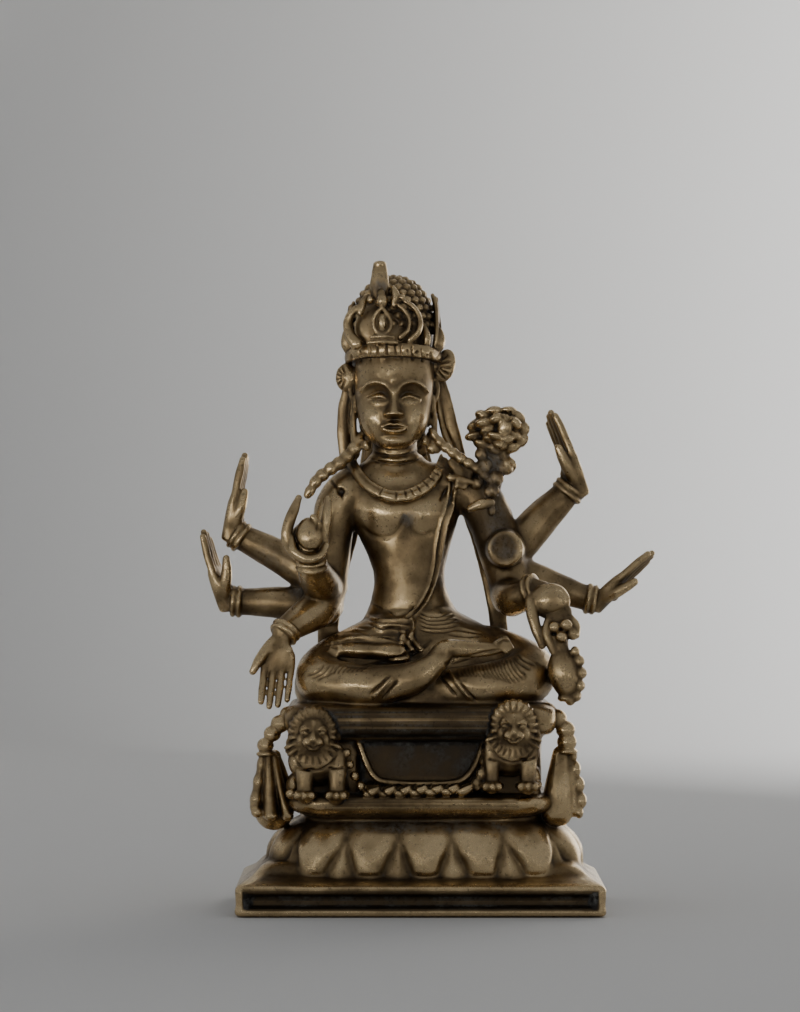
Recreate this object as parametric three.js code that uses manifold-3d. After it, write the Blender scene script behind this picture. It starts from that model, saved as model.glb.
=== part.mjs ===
// A small cast brass figure with eight arms, seated cross-legged on a lion throne above a lotus base.
// Millimetres. +X is the figure's own left, -Y is its front and +Z is up.
// The origin is the middle of the plinth's flat underside.
// The whole work is one casting, so every form below is joined into one solid.
import * as THREE from "three";
import { LoftGeometry } from "three/addons/geometries/LoftGeometry.js";
import { mergeVertices } from "three/addons/utils/BufferGeometryUtils.js";
import Module from "manifold-3d";

const wasm = await Module();
wasm.setup();

// Driving dimensions
const plinth = { width: 109, depth: 76, height: 11, corner: 3, groove: 2.6, web: 2.2 };
const lotus = { foot: 10.5, height: 17.5, width: 96, depth: 65, corner: 23, petals: 16, swell: 5.2 };
const throne = {
  ledge: 28,
  ledgeTop: 36,
  slab: 53,
  seat: 62,
  width: 80,
  depth: 63,
  dadoWidth: 66,
  dadoDepth: 50,
};
const head = { x: -7.8, y: 0, chin: 137.6, brow: 160, halfWidth: 11.4, halfDepth: 12.4 };
const crown = { band: 165.3, tilt: 0.19, halfWidth: 13.2, halfDepth: 13.8, top: 194 };
const finger = { length: 9.5, radius: 1.25 };
const braceletRadius = 1.3;

// Shape makers

// A closed three.js geometry as a solid for joining and cutting.
function solid(geometry) {
  const bare = new THREE.BufferGeometry();
  bare.setAttribute("position", geometry.attributes.position);
  bare.setIndex(geometry.index);
  const merged = mergeVertices(bare, 1e-4);
  return new wasm.Manifold(
    new wasm.Mesh({
      numProp: 3,
      vertProperties: merged.attributes.position.array,
      triVerts: new Uint32Array(merged.index.array),
    }),
  );
}

function joined(solids) {
  return wasm.Manifold.union(solids);
}

function mix(a, b, t) {
  return a + (b - a) * t;
}

function smooth(low, high, x) {
  return THREE.MathUtils.smoothstep(x, low, high);
}

// A limb: rings carried along a smooth path. Each stop is [x, y, z, half width] or
// [x, y, z, half width, half thickness]. The width lies along `across`.
function limb(stops, { sides = 6, steps = 3, across = [1, 0, 0], ends = 0.6 } = {}) {
  const path = new THREE.CatmullRomCurve3(
    stops.map(([x, y, z]) => new THREE.Vector3(x, y, z)),
    false,
    "centripetal",
  );
  const widths = new THREE.SplineCurve(
    stops.map((stop) => new THREE.Vector2(stop[3], stop[4] ?? stop[3])),
  );
  const wide = new THREE.Vector3(...across);
  const ring = (t, shift, scale) => {
    const along = path.getTangent(t);
    const u = wide.clone().addScaledVector(along, -wide.dot(along)).normalize();
    const v = along.clone().cross(u);
    const { x: halfWidth, y: halfThickness } = widths.getPoint(t);
    const middle = path.getPoint(t).addScaledVector(along, shift * halfThickness);
    return Array.from({ length: sides }, (_, i) => {
      const a = (i / sides) * 2 * Math.PI;
      return middle
        .clone()
        .addScaledVector(u, Math.cos(a) * halfWidth * scale)
        .addScaledVector(v, Math.sin(a) * halfThickness * scale);
    });
  };
  const rings = Array.from({ length: steps + 1 }, (_, i) => ring(i / steps, 0, 1));
  if (ends > 0) {
    rings.unshift(ring(0, -ends, 0.5));
    rings.push(ring(1, ends, 0.5));
  }
  return solid(new LoftGeometry(rings, { capStart: true, capEnd: true }));
}

// A string of beads or tufts in one piece: the radius swells and narrows along the path.
function beaded(stops, count, { sides = 4, waist = 0.62, across = [1, 0, 0], flat = 1 } = {}) {
  const path = new THREE.CatmullRomCurve3(stops.map(([x, y, z]) => new THREE.Vector3(x, y, z)));
  const size = new THREE.SplineCurve(stops.map((stop) => new THREE.Vector2(stop[3], 0)));
  const knots = Array.from({ length: 2 * count + 1 }, (_, i) => {
    const t = i / (2 * count);
    const r = size.getPoint(t).x * (i % 2 ? 1 : waist);
    return [...path.getPoint(t), r, r * flat];
  });
  return limb(knots, { sides, steps: 2 * count, across, ends: 0 });
}

// An egg of three half sizes, turned by Euler angles.
function egg([x, y, z], [rx, ry, rz], { sides = 6, rings = 4, turn = [0, 0, 0] } = {}) {
  const geometry = new THREE.SphereGeometry(1, sides, rings);
  geometry.rotateX(Math.PI / 2);
  geometry.scale(rx, ry, rz);
  geometry.applyMatrix4(new THREE.Matrix4().makeRotationFromEuler(new THREE.Euler(...turn)));
  geometry.translate(x, y, z);
  return solid(geometry);
}

// The point and outward normal of a rounded rectangle, by the share of its length from the front's middle.
function roundedRectangle(halfWidth, halfDepth, corner, share) {
  const flatX = halfWidth - corner;
  const flatY = halfDepth - corner;
  const arc = (Math.PI / 2) * corner;
  const pieces = [flatX, arc, 2 * flatY, arc, 2 * flatX, arc, 2 * flatY, arc, flatX];
  let rest = (share - Math.floor(share)) * pieces.reduce((sum, piece) => sum + piece, 0);
  let k = 0;
  while (k < 8 && rest > pieces[k]) rest -= pieces[k++];
  const quarter = Math.floor((k + 1) / 2);
  if (k % 2) {
    const [sx, sy] = [[1, -1], [1, 1], [-1, 1], [-1, -1]][(k - 1) / 2];
    const a = -Math.PI / 2 + ((k - 1) / 2) * (Math.PI / 2) + rest / corner;
    const [nx, ny] = [Math.cos(a), Math.sin(a)];
    return { x: sx * flatX + corner * nx, y: sy * flatY + corner * ny, nx, ny };
  }
  const sides = [
    { x: rest, y: -halfDepth, nx: 0, ny: -1 },
    { x: halfWidth, y: rest - flatY, nx: 1, ny: 0 },
    { x: flatX - rest, y: halfDepth, nx: 0, ny: 1 },
    { x: -halfWidth, y: flatY - rest, nx: -1, ny: 0 },
    { x: rest - flatX, y: -halfDepth, nx: 0, ny: -1 },
  ];
  return sides[quarter];
}

// A moulding: rounded rectangles stacked up. Each level is [z, half width, half depth, corner, x, y].
function moulding(levels, perCorner = 3) {
  const rings = levels.map(([z, a, b, corner, cx = 0, cy = 0]) =>
    Array.from({ length: 4 * perCorner }, (_, i) => {
      const k = Math.floor(i / perCorner);
      const angle = ((k - 1 + (i % perCorner) / (perCorner - 1)) * Math.PI) / 2;
      const [sx, sy] = [[1, -1], [1, 1], [-1, 1], [-1, -1]][k];
      return new THREE.Vector3(
        cx + sx * (a - corner) + corner * Math.cos(angle),
        cy + sy * (b - corner) + corner * Math.sin(angle),
        z,
      );
    }),
  );
  return solid(new LoftGeometry(rings, { capStart: true, capEnd: true }));
}

// A ring of rounded tufts, lofted along Y from the back to the front. Each level is [y, scale].
function tufted([x, z], [rx, rz], count, levels, dip = 0.8) {
  const rings = levels.map(([y, scale]) =>
    Array.from({ length: 2 * count }, (_, i) => {
      const a = (i / count) * Math.PI;
      const r = scale * (i % 2 ? dip : 1);
      return new THREE.Vector3(x + rx * r * Math.cos(a), y, z + rz * r * Math.sin(a));
    }),
  );
  return solid(new LoftGeometry(rings, { capStart: true, capEnd: true }));
}

// A body of upright oval rings. Each level is [z, half width, half depth, x, y].
function trunk(levels, sides = 12) {
  const rings = levels.map(([z, a, b, cx, cy]) =>
    Array.from({ length: sides }, (_, i) => {
      const t = (i / sides) * 2 * Math.PI;
      return new THREE.Vector3(cx + a * Math.cos(t), cy + b * Math.sin(t), z);
    }),
  );
  return solid(new LoftGeometry(rings, { capStart: true, capEnd: true }));
}

// A flat shape in X and Z with a thickness along Y.
function plate(outline, y, thickness) {
  const shape = new THREE.Shape(outline.map(([x, z]) => new THREE.Vector2(x, z)));
  const geometry = new THREE.ExtrudeGeometry(shape, { depth: thickness, bevelEnabled: false });
  geometry.rotateX(Math.PI / 2);
  geometry.translate(0, y + thickness, 0);
  return solid(geometry);
}

// The base

function makePlinth() {
  const { width, depth, height, corner, groove, web } = plinth;
  const [a, b] = [width / 2, depth / 2];
  const block = moulding(
    [
      [0, a - 0.6, b - 0.6, corner],
      [0.8, a, b, corner],
      [8.2, a - 0.8, b - 0.8, corner],
      [9.6, a - 1.4, b - 1.6, corner],
      [height, a - 3.4, b - 4, corner],
    ],
  );
  const channel = (side) =>
    limb(
      [
        [-a + web, side * (b + 0.2), 5.6, 1.6, groove],
        [a - web, side * (b + 0.2), 5.6, 1.6, groove],
      ],
      { sides: 4, across: [0, 0, 1], steps: 1, ends: 0 },
    );
  return block.subtract(channel(-1)).subtract(channel(1));
}

// Downturned petals: each is broad above and pointed below, with a small pointed leaf between two.
function petalBulge(share, t) {
  const phase = share * lotus.petals;
  const p = Math.abs(phase - Math.round(phase));
  const halfWidth = mix(0.14, 0.48, smooth(0, 0.6, t));
  const upright = smooth(0, 0.5, t) * (1 - smooth(0.8, 1, t)) * 0.75 + 0.25 * (1 - t);
  const petal = Math.sqrt(Math.max(0, 1 - (p / halfWidth) ** 2)) * upright;
  const leafHalf = 0.3 * (1 - t / 0.6);
  const leaf = leafHalf > 0 ? 0.26 * Math.max(0, 1 - (0.5 - p) / leafHalf) : 0;
  return lotus.swell * Math.max(petal, leaf);
}

function makeLotus() {
  const { foot, height, width, depth, corner, petals } = lotus;
  const [a, b] = [width / 2 - 4.6, depth / 2 - 4.6];
  const profile = [
    [0, -0.6],
    [0.3, -0.6],
    [0.66, -0.2],
    [0.88, -2.6],
    [1, -7.5],
  ];
  const around = 4 * petals;
  const rings = profile.map(([t, out]) =>
    Array.from({ length: around }, (_, i) => {
      const share = i / around;
      const p = roundedRectangle(a + out, b + out * 0.8, corner + out * 0.6, share);
      const swell = petalBulge(share, t);
      return new THREE.Vector3(p.x + p.nx * swell, p.y + p.ny * swell, foot + height * t);
    }),
  );
  return solid(new LoftGeometry(rings, { capStart: true, capEnd: true }));
}

function makeThrone() {
  const { ledge, ledgeTop, slab, seat, width, depth, dadoWidth, dadoDepth } = throne;
  const [a, b] = [width / 2, depth / 2];
  const neck = moulding([
    [ledge - 5, a - 7, b - 7, 12],
    [ledge + 2, a - 6, b - 6, 10],
  ]);
  const lower = moulding([
    [ledge, a - 5, b - 4, 9],
    [ledge + 2.4, a - 1.6, b + 0.2, 10],
    [ledge + 5, a - 0.6, b + 1.6, 10],
    [ledgeTop - 1, a - 1, b + 1.4, 10],
    [ledgeTop, a - 2.6, b, 9],
  ]);
  const dado = moulding([
    [ledgeTop - 1, dadoWidth / 2, dadoDepth / 2, 4],
    [slab + 1, dadoWidth / 2, dadoDepth / 2, 4],
  ]);
  const panel = plate(
    [[-14, 39], [15, 39], [19, slab - 0.6], [-18.5, slab - 0.6]],
    -dadoDepth / 2 - 1,
    2.4,
  );
  const upper = moulding([
    [slab - 1.2, a - 5, b - 5.5, 5],
    [slab, a - 2, b - 2.4, 6],
    [slab + 2.8, a, b - 0.6, 7],
    [seat - 3.4, a + 0.5, b - 0.2, 7],
    [seat - 1, a, b - 1, 7],
    [seat, a - 2, b - 3, 7],
  ]);
  const rim = limb(
    [
      [-18.4, -25, 51, 0.9],
      [-14.4, -25.8, 41, 1],
      [-11.5, -26.2, 39.2, 1],
      [13, -26.2, 39.2, 1],
      [15.4, -25.8, 41, 1],
      [19, -25, 51, 0.9],
    ],
    { sides: 4, steps: 7, across: [0, 1, 0] },
  );
  return [neck, lower, dado.subtract(panel), upper, rim];
}

function makeGarland() {
  const front = beaded([[-18, -28.2, 37, 1.7], [-1, -28.6, 36.8, 1.7], [15.6, -28.2, 37, 1.7]], 7, {
    sides: 4,
    across: [0, 1, 0],
  });
  const sides = [-1, 1].map((side) =>
    beaded(
      [
        [side * 17 - 0.4, -27.4, 37.6, 1.7],
        [side * 18.6, -26.8, 42, 1.6],
        [side * 20.4 + 0.6, -25.8, 50, 1.5],
      ],
      3,
      { sides: 4, across: [0, 1, 0] },
    ),
  );
  return [front, ...sides];
}

// A standing lion seen from the front, from the middle of its head and the ledge that it stands on.
function makeLion(x, headTop) {
  const floor = throne.ledgeTop - 0.6;
  const headZ = headTop - 8;
  const pieces = [
    limb([[x, -20, floor + 8, 6.8, 6], [x + 0.2, -27, floor + 9, 8, 6.6], [x + 0.2, -33, floor + 9.6, 6, 4]], {
      sides: 7,
      steps: 2,
      ends: 0,
    }),
    tufted([x, headZ + 0.2], [8.8, 8.4], 8, [[-25.6, 0.7], [-28.6, 1], [-32, 0.8]]),
    egg([x, -31.8, headZ], [5.2, 5.4, 5.7], { sides: 7, rings: 5 }),
    egg([x, -35.8, headZ - 2.4], [2.9, 3, 2.8], { sides: 5, rings: 4 }),
  ];
  for (const side of [-1, 1]) {
    pieces.push(
      limb(
        [
          [x + side * 5, -28.6, floor + 9, 3.4],
          [x + side * 5.4, -31.4, floor + 3, 2.4],
          [x + side * 5.6, -33, floor - 1, 3.2],
        ],
        { sides: 5, steps: 2, ends: 0 },
      ),
    );
  }
  return pieces;
}

// A knotted cloth end that hangs beside the throne; side is -1 on the figure's right and 1 on its left.
function makeTassel(side, x) {
  return [
    beaded([[side * 35, -20, 60, 2.9], [mix(side * 37, x + side * 2, 0.6), -20, 57, 3], [x + side * 1.6, -19, 50, 3.4]], 3),
    limb([[x - side, -19, 48, 2.6, 3.2], [x - side, -18.6, 38, 4, 5.2], [x - side, -18, 29, 4.6, 6.2]], {
      sides: 6,
      steps: 2,
      ends: 0,
    }),
    beaded(
      [[x + side * 1.6, -19, 47.4, 2], [x + side * 2.4, -19, 38, 2.4], [x + side * 3, -19, 28, 2.8]],
      3,
    ),
  ];
}

// The seated body

function makeLegs() {
  const rightLeg = limb(
    [
      [-12, 4, 74, 10, 8.5],
      [-27, -8, 71, 9.6, 8.6],
      [-30, -17, 68.4, 8, 7.4],
      [-17, -25, 67.2, 6.8, 7],
      [-3, -27.4, 68.4, 5.4, 6],
      [5, -27, 72.6, 4, 4.2],
    ],
    { sides: 8, steps: 7, across: [0, 0, 1] },
  );
  const leftLeg = limb(
    [
      [10, 4, 74, 10, 8.5],
      [29, -8, 71.6, 9.8, 8.8],
      [32.6, -16, 68.6, 8.6, 8],
      [20, -22, 67.2, 7, 7],
      [6, -22.4, 66.6, 6, 6],
    ],
    { sides: 8, steps: 5, across: [0, 0, 1] },
  );
  const rightFoot = limb(
    [
      [5.4, -26.6, 73.6, 4, 3.8],
      [14, -25, 76, 3.5, 2.9],
      [23, -22.6, 77.6, 3.2, 2],
      [26.6, -21.4, 78.6, 2.6, 1.4],
    ],
    { sides: 5, steps: 3, across: [0, 0, 1] },
  );
  const leftFoot = limb(
    [[-7, -19, 77, 3.1, 3], [-16, -18.4, 77.4, 2.8, 2.6], [-26, -15.6, 77.6, 2.6, 2]],
    { sides: 5, steps: 2, across: [0, 0, 1] },
  );
  const lap = moulding(
    [
      [61.4, 37, 21, 12, 1.4, -3],
      [74, 29, 18, 13, 0.6, -1],
      [80.5, 19.5, 13.5, 11, -0.6, 1.4],
      [84, 14.5, 10.5, 9, -1, 2.6],
    ],
  );
  const hem = limb([[9.6, -25.4, 70.6, 1.4, 1], [13.4, -26, 65, 2, 1], [16, -25.6, 61.8, 3, 1]], {
    sides: 4,
    steps: 2,
    ends: 0,
  });
  return [rightLeg, leftLeg, rightFoot, leftFoot, lap, hem];
}

function makeTorso() {
  const body = trunk([
    [78, 18, 12, -0.6, 3],
    [89, 13.6, 10.4, -2.4, 3],
    [94.5, 11.2, 9.2, -3, 3],
    [100, 10.6, 8.8, -3.2, 3],
    [108, 13, 9.4, -4, 2.7],
    [117, 16.6, 10, -4.7, 2.2],
    [123, 19, 9.4, -5.2, 2.5],
    [127.4, 19.2, 8, -5.8, 3],
    [131, 14.4, 6.8, -6.6, 3.4],
    [134.4, 8.4, 6.4, -7.2, 3.4],
  ]);
  const neck = limb([[-7.3, 3.2, 131, 7], [-7.6, 2.4, 136, 6.2], [-7.8, 1, 142, 6.4]], {
    sides: 8,
    steps: 2,
    ends: 0,
  });
  return [body, neck];
}

// The torque and the thread that crosses the chest from the figure's left shoulder.
function makeChestOrnaments() {
  const torque = limb(
    [
      [-19.6, 1.4, 132, 1.6],
      [-18, -3.4, 127.6, 1.8],
      [-13.4, -6.6, 124, 1.9],
      [-7, -7.8, 122.4, 2],
      [-0.6, -6.6, 124.2, 1.9],
      [4.4, -3.2, 128, 1.8],
      [6, 1.4, 132, 1.6],
    ],
    { sides: 4, steps: 8, across: [0, 1, 0], ends: 0 },
  );
  const thread = limb(
    [
      [12.6, -3.4, 129, 1],
      [9.4, -6.4, 117, 1],
      [6.2, -5, 104, 1],
      [3.6, -6, 94, 1],
      [-3, -8, 88, 1.1],
    ],
    { sides: 4, steps: 6, ends: 0 },
  );
  return [torque, thread];
}

// The head, its crown and what hangs from it

function makeHead() {
  const { x, y, chin } = head;
  const skull = trunk(
    [
      [chin, 3.4, 3.4, x, y - 6],
      [chin + 2, 6.8, 7.4, x, y - 3.9],
      [chin + 5.6, 9.4, 10.2, x, y - 1.8],
      [chin + 10.6, 11, 11.8, x, y - 0.5],
      [chin + 16, 11.5, 12.4, x, y],
      [chin + 22, 11.5, 12.6, x, y + 0.2],
      [chin + 30, 11.4, 12.4, x, y + 0.5],
    ],
    12,
  );
  const nose = limb(
    [
      [x, y - 11.6, chin + 19.6, 0.9],
      [x, y - 13.4, chin + 14.4, 1.3],
      [x, y - 13.8, chin + 11.4, 1.9],
    ],
    { sides: 4, steps: 2 },
  );
  const pieces = [skull, nose];
  pieces.push(
    egg([x, y - 8.6, chin + 2.2], [3, 3, 2.4], { rings: 3 }),
  );
  for (const side of [-1, 1]) {
    pieces.push(
      egg([x + side * 4.6, y - 10.2, chin + 16.4], [2.9, 1.7, 1.6], { rings: 3 }),
      limb(
        [
          [x + side * 11.4, y + 0.6, chin + 20, 1.2, 1.8],
          [x + side * 12, y, chin + 11, 1, 1.6],
          [x + side * 11.4, y - 0.4, chin + 3, 1.2, 1.6],
        ],
        { sides: 4, steps: 2 },
      ),
      egg([x + side * 11.8, y - 0.4, chin + 1], [1.7, 1.8, 2], { sides: 5, rings: 3 }),
    );
  }
  return pieces;
}

// A point on the crown's tilted band: the angle is from the front, positive to the figure's left.
function onCrown(angle, out, up) {
  const px = (crown.halfWidth + out) * Math.sin(angle);
  const py = -(crown.halfDepth + out) * Math.cos(angle);
  return [head.x - 0.4 + px, head.y + 0.6 + py, crown.band + up - crown.tilt * py];
}

// The band with its leaves is one ring: two of its points in every leaf stand at the tip.
function makeCrown() {
  const leafTall = [3, 8, 16, 9, 12, 12, 9, 12, 9, 4];
  const around = 2 * leafTall.length;
  const ringOf = (place) =>
    Array.from({ length: around }, (_, i) => {
      const angle = (i / around) * 2 * Math.PI;
      const tip = i % 2 ? leafTall[(i - 1) / 2] : 1.4;
      return new THREE.Vector3(...onCrown(angle, ...place(tip)));
    });
  const band = [
    ringOf(() => [-1.4, -2]),
    ringOf(() => [0.4, -1.9]),
    ringOf(() => [0.4, 1.7]),
    ringOf((tip) => [-0.4 - 0.16 * tip, 1.8 + tip]),
    ringOf(() => [-9, 17]),
  ];
  const x = head.x;
  const pieces = [
    solid(new LoftGeometry(band, { capStart: true, capEnd: true })),
    egg([x - 0.2, 1.4, 173], [12.4, 12, 16.8], { sides: 8, rings: 5 }),
    limb([[-12.2, -9.6, 180, 3.2, 2], [-12.2, -8.6, 186, 4, 2.8], [-12.1, -8.4, 191.6, 3.3, 2.6]], {
      sides: 5,
      steps: 2,
      ends: 0.9,
    }),
    limb([[-11.8, -13, 169.6, 3.6, 2], [-11.8, -13.4, 174.6, 3, 2.4], [-11.9, -12.4, 181.4, 1.8, 2]], {
      sides: 5,
      steps: 2,
      ends: 0,
    }),
  ];
  // The two big scrolls of the front plaque and the smaller ones at the sides.
  for (const side of [-1, 1]) {
    const middle = -11.2;
    const edge = head.x - 2 + side * 11.4;
    pieces.push(
      limb([[edge, -1, 165, 1.8], [edge + side * 1.6, -1, 171, 2], [edge - side * 1.4, -1, 181, 1.4]], {
        sides: 4,
        steps: 2,
        ends: 0,
      }),
      limb(
        [
          [middle + side * 4.4, -12.4, 169, 1.6, 2.2],
          [middle + side * 8.6, -9.6, 171.6, 1.8, 3],
          [middle + side * 9.6, -8.6, 177, 1.9, 3.4],
          [middle + side * 5.8, -9.4, 183.6, 1.6, 3],
        ],
        { sides: 4, steps: 3, ends: 0 },
      ),
    );
  }
  return pieces;
}

// The pleated bows above the ears, the ribbons below them and the locks on the shoulders.
function makeHairAndRibbons() {
  const pieces = [
    tufted([-21.6, 159.4], [4.6, 4.8], 5, [[3.4, 1], [0, 0.9]], 0.86),
    tufted([6.6, 162.8], [4.2, 5.4], 5, [[3.4, 1], [0, 0.9]], 0.86),
    limb([[-21.4, 3, 156, 1.8, 1], [-22.8, 3.6, 147, 1.8, 1], [-21.8, 4, 135, 2.2, 1]], {
      sides: 4,
      steps: 2,
      ends: 0,
    }),
    limb([[6, 3, 158, 1.8, 1], [8.6, 3.6, 149, 2.2, 1], [11.6, 4, 138, 1.4, 1], [12.6, 4, 133, 1.4, 1]], {
      sides: 4,
      steps: 3,
      ends: 0,
    }),
    limb([[-7.8, 10.6, 160, 8, 3], [-7.6, 12, 148, 9, 2.6], [-7, 10.6, 134, 10.4, 2.2], [-6.4, 11.6, 124, 7, 1.6]], {
      ends: 0,
    }),
  ];
  const locks = [
    [[-19.6, -0.4, 138.4, 1.7], [-22.6, -0.6, 133.2, 1.9], [-27, -2, 129.6, 1.9], [-31, -2, 124.6, 1.5]],
    [[4.2, -1.2, 140.4, 1.7], [8.6, -2.8, 136, 1.9], [14, -3.6, 132.4, 1.9], [19.6, -3.4, 129, 1.5]],
  ];
  return [...pieces, ...locks.map((stops) => beaded(stops, 4))];
}

// The arms

// A hand on a wrist. `up` runs to the finger tips and `palm` is the way the palm faces; thumb is 1 where
// the thumb lies along up x palm, and -1 on the other side. The four fingers are one grooved piece: each
// ring has a ridge for every finger on the palm's side, and every finger ends at its own length.
function makeHand(wrist, up, palm, thumb, { size = 1, curl = 0.12, spread = 0.06, thumbOut = 0.5 } = {}) {
  const u = new THREE.Vector3(...up).normalize();
  const n = new THREE.Vector3(...palm);
  n.addScaledVector(u, -n.dot(u)).normalize();
  const v = u.clone().cross(n).multiplyScalar(thumb);
  const at = (a, b, c) =>
    new THREE.Vector3(...wrist)
      .addScaledVector(u, a * size)
      .addScaledVector(v, b * size)
      .addScaledVector(n, c * size);
  // Half width, thickness, depth of the grooves and distance along the hand, with the fingers' bend.
  const levels = [
    [2.7, 2.3, 0, -2.6, 0],
    [4.2, 1.8, 0.1, 5, 0],
    [4.4, 1.4, 0.6, 9, 0],
    [3.8, 0.9, 0.7, 18, 2 * curl],
  ];
  const rings = levels.map(([half, thick, groove, along, bend], level) => {
    const points = [];
    for (let i = 0; i < 12; i++) {
      const front = i > 0 && i < 8;
      const b = front ? mix(1, -1, i / 8) : i === 0 ? 1 : i === 8 ? -1 : mix(-1, 1, (i - 8) / 4);
      const dip = front && i % 2 === 0 ? 1 - groove : 1;
      const edge = Math.sqrt(Math.max(0, 1 - b * b));
      const reach = Math.max(0, level - 2);
      const longest = finger.length * (1 - 0.09 * (b + 0.1) ** 2 - 0.12 * Math.max(0, -b));
      const a = level < 3 ? along : 9 + longest * reach * Math.cos(bend);
      const c = longest * reach * Math.sin(bend) + (front ? thick * Math.max(0.5, edge) * dip : 0);
      const back = i > 8 ? -thick * edge : 0;
      points.push(at(a, b * half * (1 + 2 * spread * reach), c + back));
    }
    return thumb > 0 ? points.reverse() : points;
  });
  const t = thumbOut;
  return [
    solid(new LoftGeometry(rings, { capStart: true, capEnd: true })),
    limb(
      [
        [...at(1.6, 2.4, 0.6), 1.8 * size],
        [...at(5, 4 + 2.2 * t, 1.3), 1.6 * size],
        [...at(9.2, 4.4 + 4.4 * t, 1.9), 1 * size],
      ],
      { sides: 4, steps: 2, across: v.toArray(), ends: 0 },
    ),
  ];
}

// A forearm with the bracelet at its wrist; the stops run from the elbow to the wrist.
function makeForearm(stops, bracelet) {
  const [, middle, wrist] = stops.map(([x, y, z]) => new THREE.Vector3(x, y, z));
  const d = wrist.clone().sub(middle).normalize();
  const at = (shift, radius) => [...wrist.clone().addScaledVector(d, shift), radius];
  const thin = stops[2][3];
  return limb(
    [stops[0], stops[1], at(-braceletRadius - 0.6, thin), at(-braceletRadius, bracelet), at(1.3, bracelet)],
    { steps: 4, across: Math.abs(d.z) > 0.8 ? [1, 0, 0] : [0, 0, 1], ends: 0 },
  );
}

function makeRightArms() {
  const shoulder = limb(
    [
      [-17, 2.6, 124, 7.4],
      [-24.4, 2.4, 121.6, 7.2],
      [-26.4, 2.6, 110, 6.6],
      [-28, 3, 97, 6.4],
      [-29.4, 1.6, 90.6, 6],
    ],
    { sides: 7, steps: 4, ends: 0 },
  );
  return [
    shoulder,
    // The lowered hand with its palm to the front.
    makeForearm([[-29, 2, 91.6, 5.8], [-34.4, -5.6, 87, 5.2], [-40.4, -12.8, 83.4, 3.4]], 4.6),
    ...makeHand([-41.2, -14.2, 81.6], [-0.14, -0.2, -1], [-0.1, -1, 0.1], 1, {
      size: 1.12,
      curl: 0.08,
      spread: 0.1,
      thumbOut: 0.9,
    }),
    // The raised hand that holds a round fruit in front of the shoulder.
    makeForearm([[-29, 0, 97, 5.6], [-31, -9, 99, 5], [-32.6, -17, 104.4, 3.8]], 4.6),
    ...makeHand([-33.4, -17.6, 105.6], [-0.06, -0.16, 1], [0, -1, 0], 1, {
      size: 1.06,
      curl: 0.2,
      spread: 0.16,
      thumbOut: 0.5,
    }),
    egg([-33.8, -21.4, 112.6], [4.8, 4, 6], { sides: 7, rings: 5 }),
    // The two hands held out behind.
    makeForearm([[-28, 4, 96, 6], [-41, 6, 104.4, 5], [-54, 6, 111, 4]], 4.9),
    ...makeHand([-56, 5.8, 113.6], [0.18, 0, 1], [0.9, -0.5, 0], -1, { size: 1.14, spread: 0.02 }),
    makeForearm([[-29, 4, 90, 5.8], [-42, 6, 91, 5], [-54.6, 6, 91.6, 4]], 4.6),
    ...makeHand([-58, 5.8, 92.2], [-0.42, 0, 1], [0.75, -0.65, 0], -1, { size: 1.1, spread: 0.02 }),
  ];
}

function makeLeftArms() {
  const shoulder = limb(
    [
      [6, 2.6, 125, 7.4],
      [16.6, 2.4, 124, 7.2],
      [22.4, 2.6, 114, 7],
      [26, 3, 102, 6.8],
      [27.4, 2, 93, 5.8],
    ],
    { sides: 7, steps: 4, ends: 0 },
  );
  return [
    shoulder,
    // The stump of the forearm that is broken off, with its flat, round break.
    limb([[26, 0, 107.6, 6], [26.8, -11.6, 107.6, 5.5]], { sides: 10, steps: 1, ends: 0 }),
    // The lowered hand that hangs a vase by its neck.
    makeForearm([[27, 2, 93.4, 5.8], [29.4, -7, 91.4, 5.8], [36.6, -14.6, 94, 4.4]], 5.2),
    ...makeHand([38.4, -16.4, 95], [0.08, -0.3, -1], [0, -1, 0.2], -1, {
      size: 1.1,
      curl: 0.32,
      spread: 0.04,
      thumbOut: -0.5,
    }),
    // The two hands held out behind.
    makeForearm([[25, 4, 104, 6], [34, 6, 114, 5.6], [44.2, 6, 124.6, 4]], 4.9),
    ...makeHand([46.8, 5.6, 126.4], [-0.36, 0, 1], [-0.9, -0.4, 0], 1, { size: 1.2, spread: 0.02 }),
    makeForearm([[27, 4, 100, 5.8], [38, 6, 97, 4.8], [51, 6, 92.4, 3.8]], 4.6),
    ...makeHand([53.4, 5.6, 91.6], [0.9, 0, 0.85], [-0.4, -0.7, 0.6], 1, { size: 1.1, spread: 0.02 }),
  ];
}

// The vase with its spout, beside the figure's left knee.
function makeVase() {
  const [x, y] = [42.6, -22.4];
  const profile = [[0, 62.6], [2.6, 62.8], [2, 65], [4.4, 68.4], [4.6, 72], [3, 76], [1.8, 78.4], [2.6, 81], [0, 82]];
  const geometry = new THREE.LatheGeometry(
    profile.map(([r, z]) => new THREE.Vector2(r, z)),
    8,
  );
  geometry.rotateX(Math.PI / 2);
  geometry.translate(x, y, 0);
  return [
    solid(geometry),
    limb([[x + 3, y, 68.6, 1.4], [x + 5, y, 71.6, 1.2], [x + 4.2, y, 75.6, 1.1]], { sides: 4, steps: 2 }),
    limb([[x - 3, y + 1, 69, 2.4], [x - 6, y + 4, 68.6, 2.4]], { sides: 5, steps: 1, ends: 0 }),
  ];
}

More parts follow.
